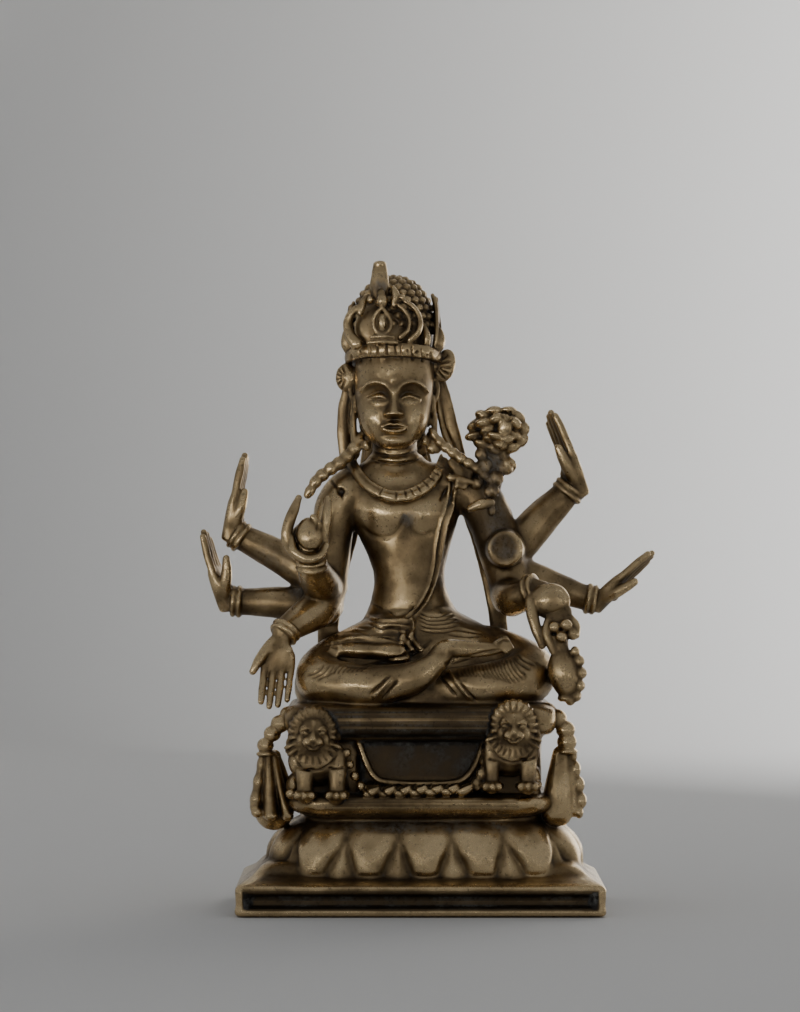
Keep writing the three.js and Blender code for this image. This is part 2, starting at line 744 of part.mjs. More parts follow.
// The lotus in flower on its stalk, at the figure's left shoulder.
function makeFlower() {
  const [x, y, z] = [23.4, 0, 142];
  const petals = [[-3.4, 2.2, 0], [-0.6, 8.8, 0], [3.8, 9.4, 1], [7, 3.4, 1]];
  const rings = petals.map(([up, out, shift]) =>
    Array.from({ length: 12 }, (_, i) => {
      const a = ((i + shift) / 6) * Math.PI;
      const r = out * (i % 2 ? 0.76 : 1);
      return new THREE.Vector3(x + r * Math.cos(a), y + 0.8 * r * Math.sin(a), z + up);
    }),
  );
  return [
    solid(new LoftGeometry(rings, { capStart: true, capEnd: true })),
    egg([x + 0.6, y - 2, z + 4.4], [3, 3, 3.6], { sides: 5, rings: 4 }),
    limb([[22.4, 0.6, 122, 3], [21.4, -0.6, 131, 2.8], [22.4, 0, 139, 3.2]], { sides: 5, steps: 2, ends: 0 }),
    egg([24.8, -0.6, 131], [3, 3, 3.2], { sides: 5, rings: 4 }),
  ];
}

// The scarf ends that fall behind the arms to the seat.
function makeScarf() {
  return [
    limb([[-22, 7.4, 119, 3.6, 1.4], [-25.4, 7.6, 102, 3.4, 1.4], [-28.2, 6.6, 84, 2.4, 1.4], [-28, 4, 76, 2.2, 1.4]], {
      sides: 4,
      steps: 3,
    }),
    limb([[18, 7.4, 119, 3.6, 1.4], [21, 7.6, 103, 3.2, 1.4], [22.4, 6.6, 88, 2.2, 1.4], [23, 4, 76, 2, 1.4]], {
      sides: 4,
      steps: 3,
    }),
  ];
}

const figure = joined([
  makePlinth(),
  makeLotus(),
  ...makeThrone(),
  ...makeGarland(),
  ...makeLion(-31.4, 60.6),
  ...makeLion(29.4, 62),
  ...makeTassel(-1, -43.4),
  ...makeTassel(1, 42.4),
  ...makeLegs(),
  ...makeTorso(),
  ...makeChestOrnaments(),
  ...makeHead(),
  ...makeCrown(),
  ...makeHairAndRibbons(),
  ...makeRightArms(),
  ...makeLeftArms(),
  ...makeVase(),
  ...makeFlower(),
  ...makeScarf(),
]);

// A solid back as a mesh that the scene can hold.
function meshOf(name, made, material) {
  const { numProp, numVert, vertProperties, triVerts } = made.getMesh();
  const positions = new Float32Array(numVert * 3);
  for (let i = 0; i < numVert; i++)
    positions.set(vertProperties.subarray(i * numProp, i * numProp + 3), i * 3);
  const geometry = new THREE.BufferGeometry();
  geometry.setAttribute("position", new THREE.BufferAttribute(positions, 3));
  geometry.setIndex(new THREE.BufferAttribute(new Uint32Array(triVerts), 1));
  geometry.computeVertexNormals();
  const mesh = new THREE.Mesh(geometry, material);
  mesh.name = name;
  return mesh;
}

const brass = new THREE.MeshStandardMaterial({ color: 0x8a6b3c, roughness: 0.42, metalness: 0.9 });
const work = new THREE.Group();
work.add(meshOf("avalokiteshvara_figure", figure, brass));

export default work;
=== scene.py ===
import bpy
import math
import numpy as np
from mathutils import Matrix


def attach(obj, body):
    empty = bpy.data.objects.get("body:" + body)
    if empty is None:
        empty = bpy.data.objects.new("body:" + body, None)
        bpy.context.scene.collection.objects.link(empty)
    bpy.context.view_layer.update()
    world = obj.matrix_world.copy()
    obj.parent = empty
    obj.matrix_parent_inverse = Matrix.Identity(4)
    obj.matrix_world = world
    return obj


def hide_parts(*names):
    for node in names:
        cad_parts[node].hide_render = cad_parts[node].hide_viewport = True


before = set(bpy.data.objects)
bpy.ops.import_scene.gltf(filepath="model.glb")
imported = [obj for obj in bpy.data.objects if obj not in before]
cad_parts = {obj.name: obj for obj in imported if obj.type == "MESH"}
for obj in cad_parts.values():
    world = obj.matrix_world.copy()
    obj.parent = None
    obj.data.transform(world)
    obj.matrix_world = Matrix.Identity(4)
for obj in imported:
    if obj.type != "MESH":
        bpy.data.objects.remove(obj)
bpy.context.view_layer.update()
print("frame loaded")

mm = 0.001
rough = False

# camera, lights and floor

view = {"eye": (-6.0, -1400.0, 120.3), "frameHeight": 303.6}  # mm, looking level along +Y
lights = [
    # name, place, aim, size, power
    ("keyLight", (-0.62, -1.05, 0.8), (0, 0, 0.09), 0.4, 190.0),
    ("fillLight", (0.8, -1.1, 0.3), (0, 0, 0.1), 0.45, 32.0),
    ("edgeLight", (0.7, 0.55, 0.7), (0, 0, 0.12), 0.4, 34.0),
]
studio = {"floor": (0.7, 0.69, 0.67), "air": (0.75, 0.77, 0.8), "airStrength": 0.46}


def aimAt(thing, place, target):
    """Turns a lamp or camera so that its -Z axis points at the target."""
    to = np.asarray(target, float) - np.asarray(place, float)
    yaw = math.atan2(to[0], -to[1])
    thing.location = place
    thing.rotation_euler = (math.acos(-to[2] / np.linalg.norm(to)), 0, yaw)


def setStage():
    """The camera at the photograph's place, three soft lamps, a pale floor that curves up behind."""
    camData = bpy.data.cameras.new("photoCamera")
    camera = bpy.data.objects.new("photoCamera", camData)
    bpy.context.collection.objects.link(camera)
    camera.location = tuple(v * mm for v in view["eye"])
    camera.rotation_euler = (math.pi / 2, 0, 0)
    camData.sensor_width = 36
    camData.lens = 36 * -view["eye"][1] / view["frameHeight"]
    camData.clip_start, camData.clip_end = 0.05, 30
    bpy.context.scene.camera = camera
    for name, place, target, size, power in lights:
        lampData = bpy.data.lights.new(name, "AREA")
        lampData.size, lampData.energy = size, power
        lamp = bpy.data.objects.new(name, lampData)
        bpy.context.collection.objects.link(lamp)
        aimAt(lamp, place, target)
    world = bpy.data.worlds.new("studioAir")
    world.use_nodes = True
    air = world.node_tree.nodes["Background"]
    air.inputs["Color"].default_value = (*studio["air"], 1)
    air.inputs["Strength"].default_value = studio["airStrength"]
    bpy.context.scene.world = world
    # floor: a straight stretch, a quarter round and a wall, all in one sheet
    bend = np.linspace(0, math.pi / 2, 16)
    run = np.concatenate([[-2.4], 0.9 + 0.5 * np.sin(bend), [1.4]])
    rise = np.concatenate([[0.0], 0.5 - 0.5 * np.cos(bend), [2.2]])
    wide = np.array([-3.0, 3.0])
    verts = np.stack(np.broadcast_arrays(wide[:, None], run[None], rise[None]), -1).reshape(-1, 3)
    n = len(run)
    faces = [(i, n + i, n + i + 1, i + 1) for i in range(n - 1)]
    sheet = bpy.data.meshes.new("studioFloor")
    sheet.from_pydata(verts.tolist(), [], faces)
    sheet.shade_smooth()
    floor = bpy.data.objects.new("studioFloor", sheet)
    bpy.context.collection.objects.link(floor)
    paper = bpy.data.materials.new("palePaper")
    paper.use_nodes = True
    shader = paper.node_tree.nodes["Principled BSDF"]
    shader.inputs["Base Color"].default_value = (*studio["floor"], 1)
    shader.inputs["Roughness"].default_value = 0.85
    sheet.materials.append(paper)


setStage()
print("stage set")

# shape makers (all in mm, whole arrays)


def smoothCurve(points, spacing):
    """Catmull-Rom curve through the rows of points, resampled at even steps of its length."""
    p = np.asarray(points, float)
    q = np.vstack([2 * p[0] - p[1], p, 2 * p[-1] - p[-2]])
    a, b, c, d = (k[:, None, :] for k in (q[:-3], q[1:-2], q[2:-1], q[3:]))
    t = np.linspace(0, 1, 24, endpoint=False)[None, :, None]
    curve = 0.5 * (2 * b + (c - a) * t + (2 * a - 5 * b + 4 * c - d) * t**2 + (3 * b - a - 3 * c + d) * t**3)
    curve = np.vstack([curve.reshape(-1, p.shape[1]), p[-1]])
    run = np.concatenate([[0], np.cumsum(np.linalg.norm(np.diff(curve[:, :3], axis=0), axis=1))])
    count = max(5, int(run[-1] / spacing) + 1)
    want = np.linspace(0, run[-1], count)
    return np.column_stack([np.interp(want, run, curve[:, k]) for k in range(curve.shape[1])])


def unit(v):
    """Each row divided by its length."""
    v = np.asarray(v, float)
    return v / np.maximum(np.linalg.norm(v, axis=-1, keepdims=True), 1e-9)


def closedSkin(grid):
    """A grid of rings (rings x points x 3) as a closed skin: quads split in two, a pole at each end.
    The winding is turned round if the skin's signed volume is negative."""
    m, n, _ = grid.shape
    verts = np.vstack([grid.reshape(-1, 3), grid[0].mean(0), grid[-1].mean(0)])
    i, j = np.meshgrid(np.arange(m - 1), np.arange(n), indexing="ij")
    k = (j + 1) % n
    a, b, c, d = (v.ravel() for v in (i * n + j, i * n + k, (i + 1) * n + k, (i + 1) * n + j))
    j, k = np.arange(n), (np.arange(n) + 1) % n
    first, last = np.full(n, m * n), np.full(n, m * n + 1)
    tris = np.vstack(
        [
            np.column_stack([a, b, c]),
            np.column_stack([a, c, d]),
            np.column_stack([first, k, j]),
            np.column_stack([last, (m - 1) * n + j, (m - 1) * n + k]),
        ]
    )
    p, q, r = (verts[tris[:, s]] for s in range(3))
    if np.einsum("ij,ij->i", p, np.cross(q, r)).sum() < 0:
        tris = tris[:, ::-1]
    return verts, tris


def roundPair(count, power=2.0, start=0.0):
    """Cosine and sine round a superellipse: |cos|^(2/power) and |sin|^(2/power) with their signs."""
    angle = start + np.linspace(0, 2 * math.pi, count, endpoint=False)
    c, s = np.cos(angle), np.sin(angle)
    return np.sign(c) * np.abs(c) ** (2 / power), np.sign(s) * np.abs(s) ** (2 / power), angle


def carried(stops, across=(1, 0, 0), around=18, spacing=0.6, power=2.0, ends=1.0, shape=None):
    """An oval section carried along the smooth curve through the stops [x, y, z, a, b]. Its half width a
    lies along `across` made square to the path, and its half thickness b along path x across. Both ends
    are closed by quarter-round rings. shape(angle, way) multiplies the section, way runs 0 to 1."""
    rows = [list(s) + [s[3]] if len(s) == 4 else list(s) for s in stops]
    path = smoothCurve(rows, spacing)
    centre, a, b = path[:, :3], path[:, 3], path[:, 4]
    along = unit(np.gradient(centre, axis=0))
    u = unit(np.asarray(across, float) - (along @ np.asarray(across, float))[:, None] * along)
    v = np.cross(along, u)
    c, s, angle = roundPair(around, power)
    bend = np.radians([78, 58, 38, 18])
    pick = np.concatenate([[0] * 4, np.arange(len(path)), [len(path) - 1] * 4])
    scale = np.concatenate([np.cos(bend), np.ones(len(path)), np.cos(bend[::-1])])
    shift = np.concatenate([-np.sin(bend), np.zeros(len(path)), np.sin(bend[::-1])]) * ends
    if ends == 0:
        pick, scale, shift = np.arange(len(path)), np.ones(len(path)), np.zeros(len(path))
    way = pick / (len(path) - 1)
    more = 1.0 if shape is None else shape(angle[None, :], way[:, None])
    wide = a[pick, None] * c[None] * scale[:, None] * more
    thick = b[pick, None] * s[None] * scale[:, None] * more
    reach = np.minimum(a, b)[pick] * shift
    grid = (
        (centre[pick] + along[pick] * reach[:, None])[:, None, :]
        + wide[..., None] * u[pick][:, None, :]
        + thick[..., None] * v[pick][:, None, :]
    )
    return closedSkin(grid)


def turned(points, turn):
    """Points turned by angles in degrees about X, then Y, then Z."""
    x, y, z = np.radians(turn)
    rx = np.array([[1, 0, 0], [0, math.cos(x), -math.sin(x)], [0, math.sin(x), math.cos(x)]])
    ry = np.array([[math.cos(y), 0, math.sin(y)], [0, 1, 0], [-math.sin(y), 0, math.cos(y)]])
    rz = np.array([[math.cos(z), -math.sin(z), 0], [math.sin(z), math.cos(z), 0], [0, 0, 1]])
    return points @ (rz @ ry @ rx).T


def ovoid(centre, radii, turn=(0, 0, 0), power=2.0, across=None, fine=None, shape=None):
    """A superellipsoid: latitude rings from pole to pole of a superellipse, scaled to the three half
    sizes, turned and moved. shape(angle, height) multiplies the ring, height runs -1 to 1."""
    size = max(radii)
    rings = fine or int(np.clip(size / 0.3, 8, 60))
    lat = np.linspace(-math.pi / 2, math.pi / 2, rings + 2)[1:-1]
    flat = power if across is None else across
    c, s, angle = roundPair(2 * rings, flat)
    up = np.sign(np.sin(lat)) * np.abs(np.sin(lat)) ** (2 / power)
    out = np.abs(np.cos(lat)) ** (2 / power)
    more = 1.0 if shape is None else shape(angle[None, :], up[:, None])
    ring = out[:, None] * more
    grid = np.stack(
        [
            radii[0] * ring * c[None],
            radii[1] * ring * s[None],
            np.broadcast_to((radii[2] * up)[:, None], (rings, 2 * rings)),
        ],
        -1,
    )
    grid = turned(grid.reshape(-1, 3), turn).reshape(grid.shape) + np.asarray(centre, float)
    return closedSkin(grid)


def frameRing(halfX, halfY, corner, count):
    """Points and outward normals round a rounded rectangle at even steps, from the front's middle
    towards +X: the four straight sides and the four quarter circles, joined and resampled."""
    quarter = np.linspace(0, math.pi / 2, 24)
    parts = []
    for k, (sx, sy) in enumerate([(1, -1), (1, 1), (-1, 1), (-1, -1)]):
        a = quarter - math.pi / 2 + k * math.pi / 2
        n = np.stack([np.cos(a), np.sin(a)], -1)
        parts.append(np.hstack([[[sx * (halfX - corner), sy * (halfY - corner)]] + corner * n, n]))
    ring = np.vstack([[[0, -halfY, 0, -1]], *parts, [[0, -halfY, 0, -1]]])
    run = np.concatenate([[0], np.cumsum(np.linalg.norm(np.diff(ring[:, :2], axis=0), axis=1))])
    want = np.linspace(0, run[-1], count, endpoint=False)
    out = np.column_stack([np.interp(want, run, ring[:, k]) for k in range(4)])
    return out[:, :2], unit(out[:, 2:])


def moulding(levels, count=360, spacing=0.5, push=None, centre=(0, 0)):
    """Rounded rectangles stacked up: the levels [z, half width, half depth, corner] are joined by a
    smooth curve. push(share, z) moves each point out along the ring's normal; share runs 0 to 1."""
    path = smoothCurve([[0, 0, *level] for level in levels], spacing)
    zs, halfX, halfY, corner = path[:, 2], path[:, 3], path[:, 4], path[:, 5]
    share = np.linspace(0, 1, count, endpoint=False)
    grid = np.empty((len(path), count, 3))
    for k in range(len(path)):
        points, normals = frameRing(halfX[k], halfY[k], max(corner[k], 0.5), count)
        out = 0 if push is None else push(share, zs[k])[:, None]
        grid[k, :, :2] = points + normals * out + centre
        grid[k, :, 2] = zs[k]
    return closedSkin(grid)


def stacked(levels, around=120, spacing=0.5, power=2.0, push=None):
    """Upright oval rings: the levels [z, half width, half depth, x, y] joined by a smooth curve.
    push(x, y, z) gives how far each point moves along its ring's own direction."""
    rows = np.asarray(levels, float)
    path = smoothCurve(np.column_stack([rows[:, 3], rows[:, 4], rows[:, 0], rows[:, 1], rows[:, 2]]), spacing)
    c, s, _ = roundPair(around, power)
    x = path[:, 0, None] + path[:, 3, None] * c[None]
    y = path[:, 1, None] + path[:, 4, None] * s[None]
    z = np.broadcast_to(path[:, 2, None], x.shape).copy()
    if push is not None:
        out = push(x, y, z)
        x, y = x + out * c[None], y + out * s[None]
    return closedSkin(np.stack([x, y, z], -1))


def swell(x, z, place, size, height):
    """A soft bump: height x exp(-((x-x0)/sx)^2 - ((z-z0)/sz)^2)."""
    return height * np.exp(-(((x - place[0]) / size[0]) ** 2) - ((z - place[1]) / size[1]) ** 2)


def step(low, high, x):
    """Smooth step from 0 at low to 1 at high."""
    t = np.clip((x - low) / (high - low), 0, 1)
    return t * t * (3 - 2 * t)


def row(count, *ends):
    """Evenly spaced values along the smooth curve through the end values (each a list of numbers)."""
    p = np.asarray(ends, float)
    t = np.linspace(0, len(p) - 1, count)
    return np.column_stack([np.interp(t, np.arange(len(p)), p[:, k]) for k in range(p.shape[1])])


# plinth

plinth = {"halfWidth": 54.5, "halfDepth": 37.9, "corner": 2.2, "post": 2.3}


def makePlinth():
    """Two half-round bars with corner posts round a set-back core, and a slope up to the lotus."""
    a, b, r = plinth["halfWidth"], plinth["halfDepth"], plinth["corner"]
    bar = [(0.05, 2.4), (0.1, 0.9), (0.6, 0.2), (1.6, 0), (2.5, 0.25), (3.1, 1.1), (3.3, 3.2)]
    slope = [(6.2, 3.4, 3.4), (6.4, 1.3, 1.3), (7.2, 0.4, 0.4), (8.4, 0.3, 0.4), (9.3, 0.9, 1.2)]
    slope += [(10.0, 2.2, 3.0), (10.7, 3.6, 5.2), (12.0, 5.4, 8.4), (14.2, 7.6, 11), (15.4, 9.6, 13)]
    shells = [
        moulding([[z, a - i, b - i, r] for z, i in bar], count=420),
        moulding([[z, a - i, b - j, r + 0.3 * i] for z, i, j in slope], count=420),
        moulding([[0.05, a - 3.2, b - 3.0, r], [4, a - 3.1, b - 2.9, r], [9, a - 3.2, b - 3.2, r]], count=300),
    ]
    for sx in (-1, 1):
        for sy in (-1, 1):
            x, y = sx * (a - plinth["post"] - 0.1), sy * (b - plinth["post"] - 0.1)
            shells.append(carried([[x, y, 1.2, 2.3], [x, y, 4, 2.1], [x, y, 8, 2.3]], spacing=0.6, ends=0.5))
    return shells


# lotus

lotus = {"foot": 10.6, "rim": 25.6, "petals": 16, "lift": 3.7, "centre": 1.4}


def petalLift(share, z):
    """The petals' height above the core. Across, a full dome 1-(p/w)^3 to the power 0.5; its half
    width w grows upwards until neighbours touch. It rises steeply from the foot, and falls in a round
    shoulder to the rim. Low between two petals lies the three-cornered leaf of the row behind."""
    t = np.clip((z - lotus["foot"]) / (lotus["rim"] - lotus["foot"]), -0.2, 1.3)
    phase = share * lotus["petals"]
    p = phase - np.round(phase)
    w = 0.235 + 0.29 * step(0.0, 0.95, t)
    dome = np.clip(1 - np.abs(p / w) ** 2.5, 0, 1) ** 0.55
    rise = 0.7 * step(-0.02, 0.16, t) + 0.3 * step(0.05, 0.6, t)
    fall = math.sqrt(max(0.0, 1 - (max(0.0, t - 0.42) / 0.66) ** 2))
    petal = dome * rise * fall
    q = 0.5 - np.abs(p)
    wide = 0.26 * np.clip(1 - t / 0.8, 0, 1)
    leaf = (0.42 * np.clip(1 - q / max(wide, 1e-3), 0, 1) ** 0.6 + 0.1) * step(-0.1, 0.1, t) * (wide > 0.02)
    return lotus["lift"] * np.maximum(petal, leaf) * (1 + 0.05 * np.cos(math.pi * np.round(phase)))


def makeLotus():
    """A core that widens downwards from the neck to the foot, with the petals' lift on it."""
    core = [
        [9.0, 45.4, 30.4, 20],
        [11, 45.2, 30.2, 20],
        [14, 44.6, 29.8, 20],
        [17, 43.8, 29.2, 20],
        [20, 42.8, 28.6, 20],
        [23, 41.2, 27.8, 20],
        [25.4, 39.2, 26.8, 18],
        [27.4, 37.4, 25.8, 16],
        [29.2, 35.4, 24.6, 13],
        [31.0, 34.4, 23.6, 12],
    ]
    return [moulding(core, count=900, spacing=0.4, push=petalLift, centre=(lotus["centre"], 0))]


# throne

throne = {"ledge": 28.6, "ledgeTop": 35.2, "slab": 53.0, "seat": 61.8, "halfWidth": 39.4, "halfDepth": 31.4}


def makeThrone():
    """Half-round ledge below, half-round slab above, a set-back body between with two blocks that
    carry the lions, and a strip bent like a U round the sunk middle panel."""
    a, b = throne["halfWidth"], throne["halfDepth"]
    ledge = [
        [26.8, a - 7.4, b - 7, 10],
        [28.4, a - 6.4, b - 5.4, 10],
        [29.4, a - 3.6, b - 2.6, 10],
        [30.6, a - 1.6, b - 0.6, 10],
        [32.4, a - 0.6, b + 0.5, 10],
        [34, a - 0.8, b + 0.3, 10],
        [35.0, a - 2, b - 0.9, 10],
        [35.3, a - 4.4, b - 3.4, 8],
    ]
    slab = [
        [51.0, a - 6.5, b - 7.6, 5],
        [51.4, a - 3.6, b - 4.6, 6],
        [52.6, a - 3.2, b - 4.2, 6],
        [53.0, a - 1.0, b - 2.0, 7],
        [55, a + 0.3, b - 0.4, 7],
        [57.4, a + 0.6, b, 7],
        [59.6, a + 0.4, b - 0.4, 7],
        [61.2, a - 0.8, b - 1.8, 7],
        [61.9, a - 3, b - 4.4, 6],
    ]
    shells = [
        moulding(ledge, spacing=0.4),
        moulding(slab, spacing=0.4),
        moulding([[34, 33, 21.4, 4], [44, 33, 21.4, 4], [52, 33, 21.4, 4]], count=240),
    ]
    for side, x in ((-1, -26.4), (1, 27.2)):
        shells.append(ovoid((x, -14, 44), (8.6, 11.2, 10.4), power=7, fine=30))
    rim = [
        [-18.6, -24.4, 52.2],
        [-17.2, -24.8, 48],
        [-15.2, -25.2, 43.2],
        [-13.2, -25.6, 40.4],
        [-10, -26, 39.0],
        [0, -26.2, 38.5],
        [9, -26, 38.7],
        [12.6, -25.8, 39.8],
        [15.2, -25.2, 42.4],
        [17.4, -24.8, 47],
        [19.2, -24.4, 52.2],
    ]
    shells.append(carried([[*p, 1.15, 1.7] for p in rim], across=(0, 0, 1), around=16, ends=0))
    # the sill under the strip
    shells.append(ovoid((-0.4, -20, 36.4), (17.5, 7.2, 2.6), power=4, fine=26))
    return shells


garland = {"count": 7, "first": -14.4, "pitch": 4.6, "rise": 0.11}


def makeGarland():
    """Plump lobed leaves lying one after another along the ledge, rising a little to one side, and
    round beads on up both sides of the panel."""
    shells = []

    def lobed(angle, height):
        return 1 - 0.3 * np.exp(-(((np.abs(np.sin(angle - 0.5)) - 0.0) / 0.22) ** 2)) * (height > -0.4)

    for k in range(garland["count"]):
        x = garland["first"] + k * garland["pitch"]
        z = 36.4 + garland["rise"] * k
        shells.append(ovoid((x, -30.6, z), (1.6, 2.0, 2.9), turn=(0, 64, 0), shape=lobed))
        shells.append(ovoid((x + 1.7, -30.4, z + 0.9), (1.1, 1.5, 1.2), turn=(0, 30, 0)))
        shells.append(ovoid((x - 1.3, -30.8, z - 0.5), (1.3, 1.6, 1.1)))
    for beads in (
        [(-17.6, 38.0, 1.4), (-19.4, 41.0, 1.4), (-20.6, 44.4, 1.3), (-21.4, 47.8, 1.2)],
        [(16.6, 38.4, 1.9), (18.2, 41.6, 1.9), (19.0, 45.2, 1.7), (19.4, 48.4, 1.2)],
    ):
        for x, z, r in beads:
            shells.append(ovoid((x, -29.4, z), (r, 1.8, r * 1.1)))
    return shells


# lions

lions = [
    # middle of the face, body's middle and floor, forelegs as (x, half width), lowest point of the mane
    {"face": (-31.4, -33.4, 53.4), "body": (-30.4, 34.4), "legs": ((-33.9, 2.7), (-24.6, 2.8)), "drop": (0.9, 0.25)},
    {"face": (27.2, -33.2, 55.4), "body": (26.4, 37.0), "legs": ((21.0, 2.4), (31.4, 2.6)), "drop": (1.3, 0.8)},
]


def makeLion(lion):
    """A lion seen from the front: ribcage and shoulders, two forelegs with toes, a round face with
    muzzle, lids and brow, a cap of thick locks round it and a pointed bib under the chin."""
    fx, fy, fz = lion["face"]
    body, floor = lion["body"]
    shells = [
        ovoid((body, -25, floor + 10.4), (8.0, 8.4, 6.6), power=2.3),
        ovoid((body, -29.6, floor + 11.2), (7.2, 5.0, 5.2)),
        ovoid((body, -18, floor + 7), (7.6, 8, 7), power=2.4),
        # skull, brow, cheeks, muzzle, nose and chin
        ovoid((fx, fy + 2.2, fz + 0.4), (4.6, 4.8, 5.0), power=2.2),
        ovoid((fx, fy - 1.4, fz - 1.6), (2.6, 2.6, 2.4)),
        carried([[fx, fy - 0.9, fz + 3.4, 1.0, 1.2], [fx, fy - 1.9, fz + 0.6, 0.9, 1.2], [fx, fy - 3.6, fz - 1.2, 1.1, 1.0]], spacing=0.3),
        ovoid((fx, fy - 2.4, fz - 3.8), (1.7, 1.7, 0.9)),
    ]
    for side, (lx, wide) in zip((-1, 1), lion["legs"]):
        sx = fx + side * 2.55
        shells += [
            ovoid((fx + side * 1.55, fy - 2.5, fz - 2.2), (1.65, 1.9, 1.55)),
            ovoid((sx, fy - 1.2, fz + 0.9), (1.5, 1.5, 1.2)),
            ovoid((fx + side * 3.3, fy + 0.4, fz - 1.6), (1.7, 2.4, 2.4)),
            # shoulder, foreleg, cuff above the paw
            ovoid((body + side * 5.4, -28.6, floor + 11.2), (3.2, 4.6, 4.6)),
            carried(
                [
                    [lx * 0.7 + body * 0.3 + side * 1.2, -29.0, floor + 12.5, wide + 0.8],
                    [lx, -31.0, floor + 8, wide + 0.2],
                    [lx, -31.8, floor + 4, wide - 0.3],
                    [lx, -32.0, floor + 1.2, wide],
                ],
                spacing=0.4,
                around=24,
            ),
            ovoid((lx, -33.0, floor + 1.3), (wide + 1.2, 2.6, 1.6)),
            ovoid((body + side * 6.8, -24, floor + 3.4), (2.4, 5.4, 3.8)),
            ovoid((body + side * 7.4, -28.4, floor + 1.4), (2.0, 2.6, 1.6)),
        ]
        for toe in range(3):
            tx = lx + (toe - 1) * (0.62 * wide + 0.35)
            shells.append(ovoid((tx, -34.7 + 0.4 * abs(toe - 1), floor + 1.2), (1.15, 1.9, 1.35), turn=(0, 0, (toe - 1) * 14)))
    # cap of the mane and the thick locks laid over it, side by side
    shells.append(ovoid((fx, fy + 4.6, fz + 1.2), (6.4, 4.4, 6.2)))
    for k, degrees in enumerate(np.linspace(-30, 210, 15)):
        angle = math.radians(degrees)
        c, s = math.cos(angle), math.sin(angle)
        drop = 1.2 * max(0.0, 0.3 - s)
        start = [fx + 4.5 * c, fy + 0.5, fz + 0.5 + 4.7 * s, 0.85, 0.8]
        middle = [fx + 5.8 * c, fy + 1.1, fz + 0.7 + 6.1 * s - 0.4 * drop, 1.2, 1.2]
        end = [fx + 6.7 * c, fy + 4.2, fz + 0.5 + 6.9 * s - drop, 1.0, 1.1]
        shells.append(carried([start, middle, end], across=(-s, 0, c), around=14, spacing=0.3))
    # strands that hang beside the face, knotted at the end
    for side, long in zip((-1, 1), lion["drop"]):
        x, z = fx + side * 6.0, fz + 0.6
        beads = [[x, fy + 2.4, z, 1.2], [x + side * 0.8, fy + 2.8, z - 3 * long, 1.15], [x + side * 1.0, fy + 3.2, z - 6.0 * long, 1.3]]
        path = smoothCurve(beads, 0.3)
        path[:, 3] *= 0.86 + 0.2 * np.abs(np.sin(np.arange(len(path)) * 0.3 / 2.1 * math.pi))
        shells.append(carried([list(p) for p in path], around=14, spacing=0.3))
    # bib: pointed locks fanned under the chin, one row over the other
    for length, count, lift in ((7.4, 11, 0.0), (5.4, 9, -0.9)):
        for degrees in np.linspace(196, 344, count):
            angle = math.radians(degrees)
            c, s = math.cos(angle), math.sin(angle)
            near = [fx + 3.0 * c, fy + 0.3 + lift, fz - 1.4 + 3.0 * s, 0.7, 1.0]
            far = [fx + length * 0.98 * c, fy + 1.5 + lift, fz - 1.6 + length * s, 0.85, 0.9]
            tip = [fx + (length + 1.4) * 0.98 * c, fy + 2.2 + lift, fz - 1.6 + (length + 1.4) * s, 0.3, 0.6]
            shells.append(carried([near, far, tip], across=(-s, 0, c), around=12, spacing=0.35))
    return shells


# side cloths


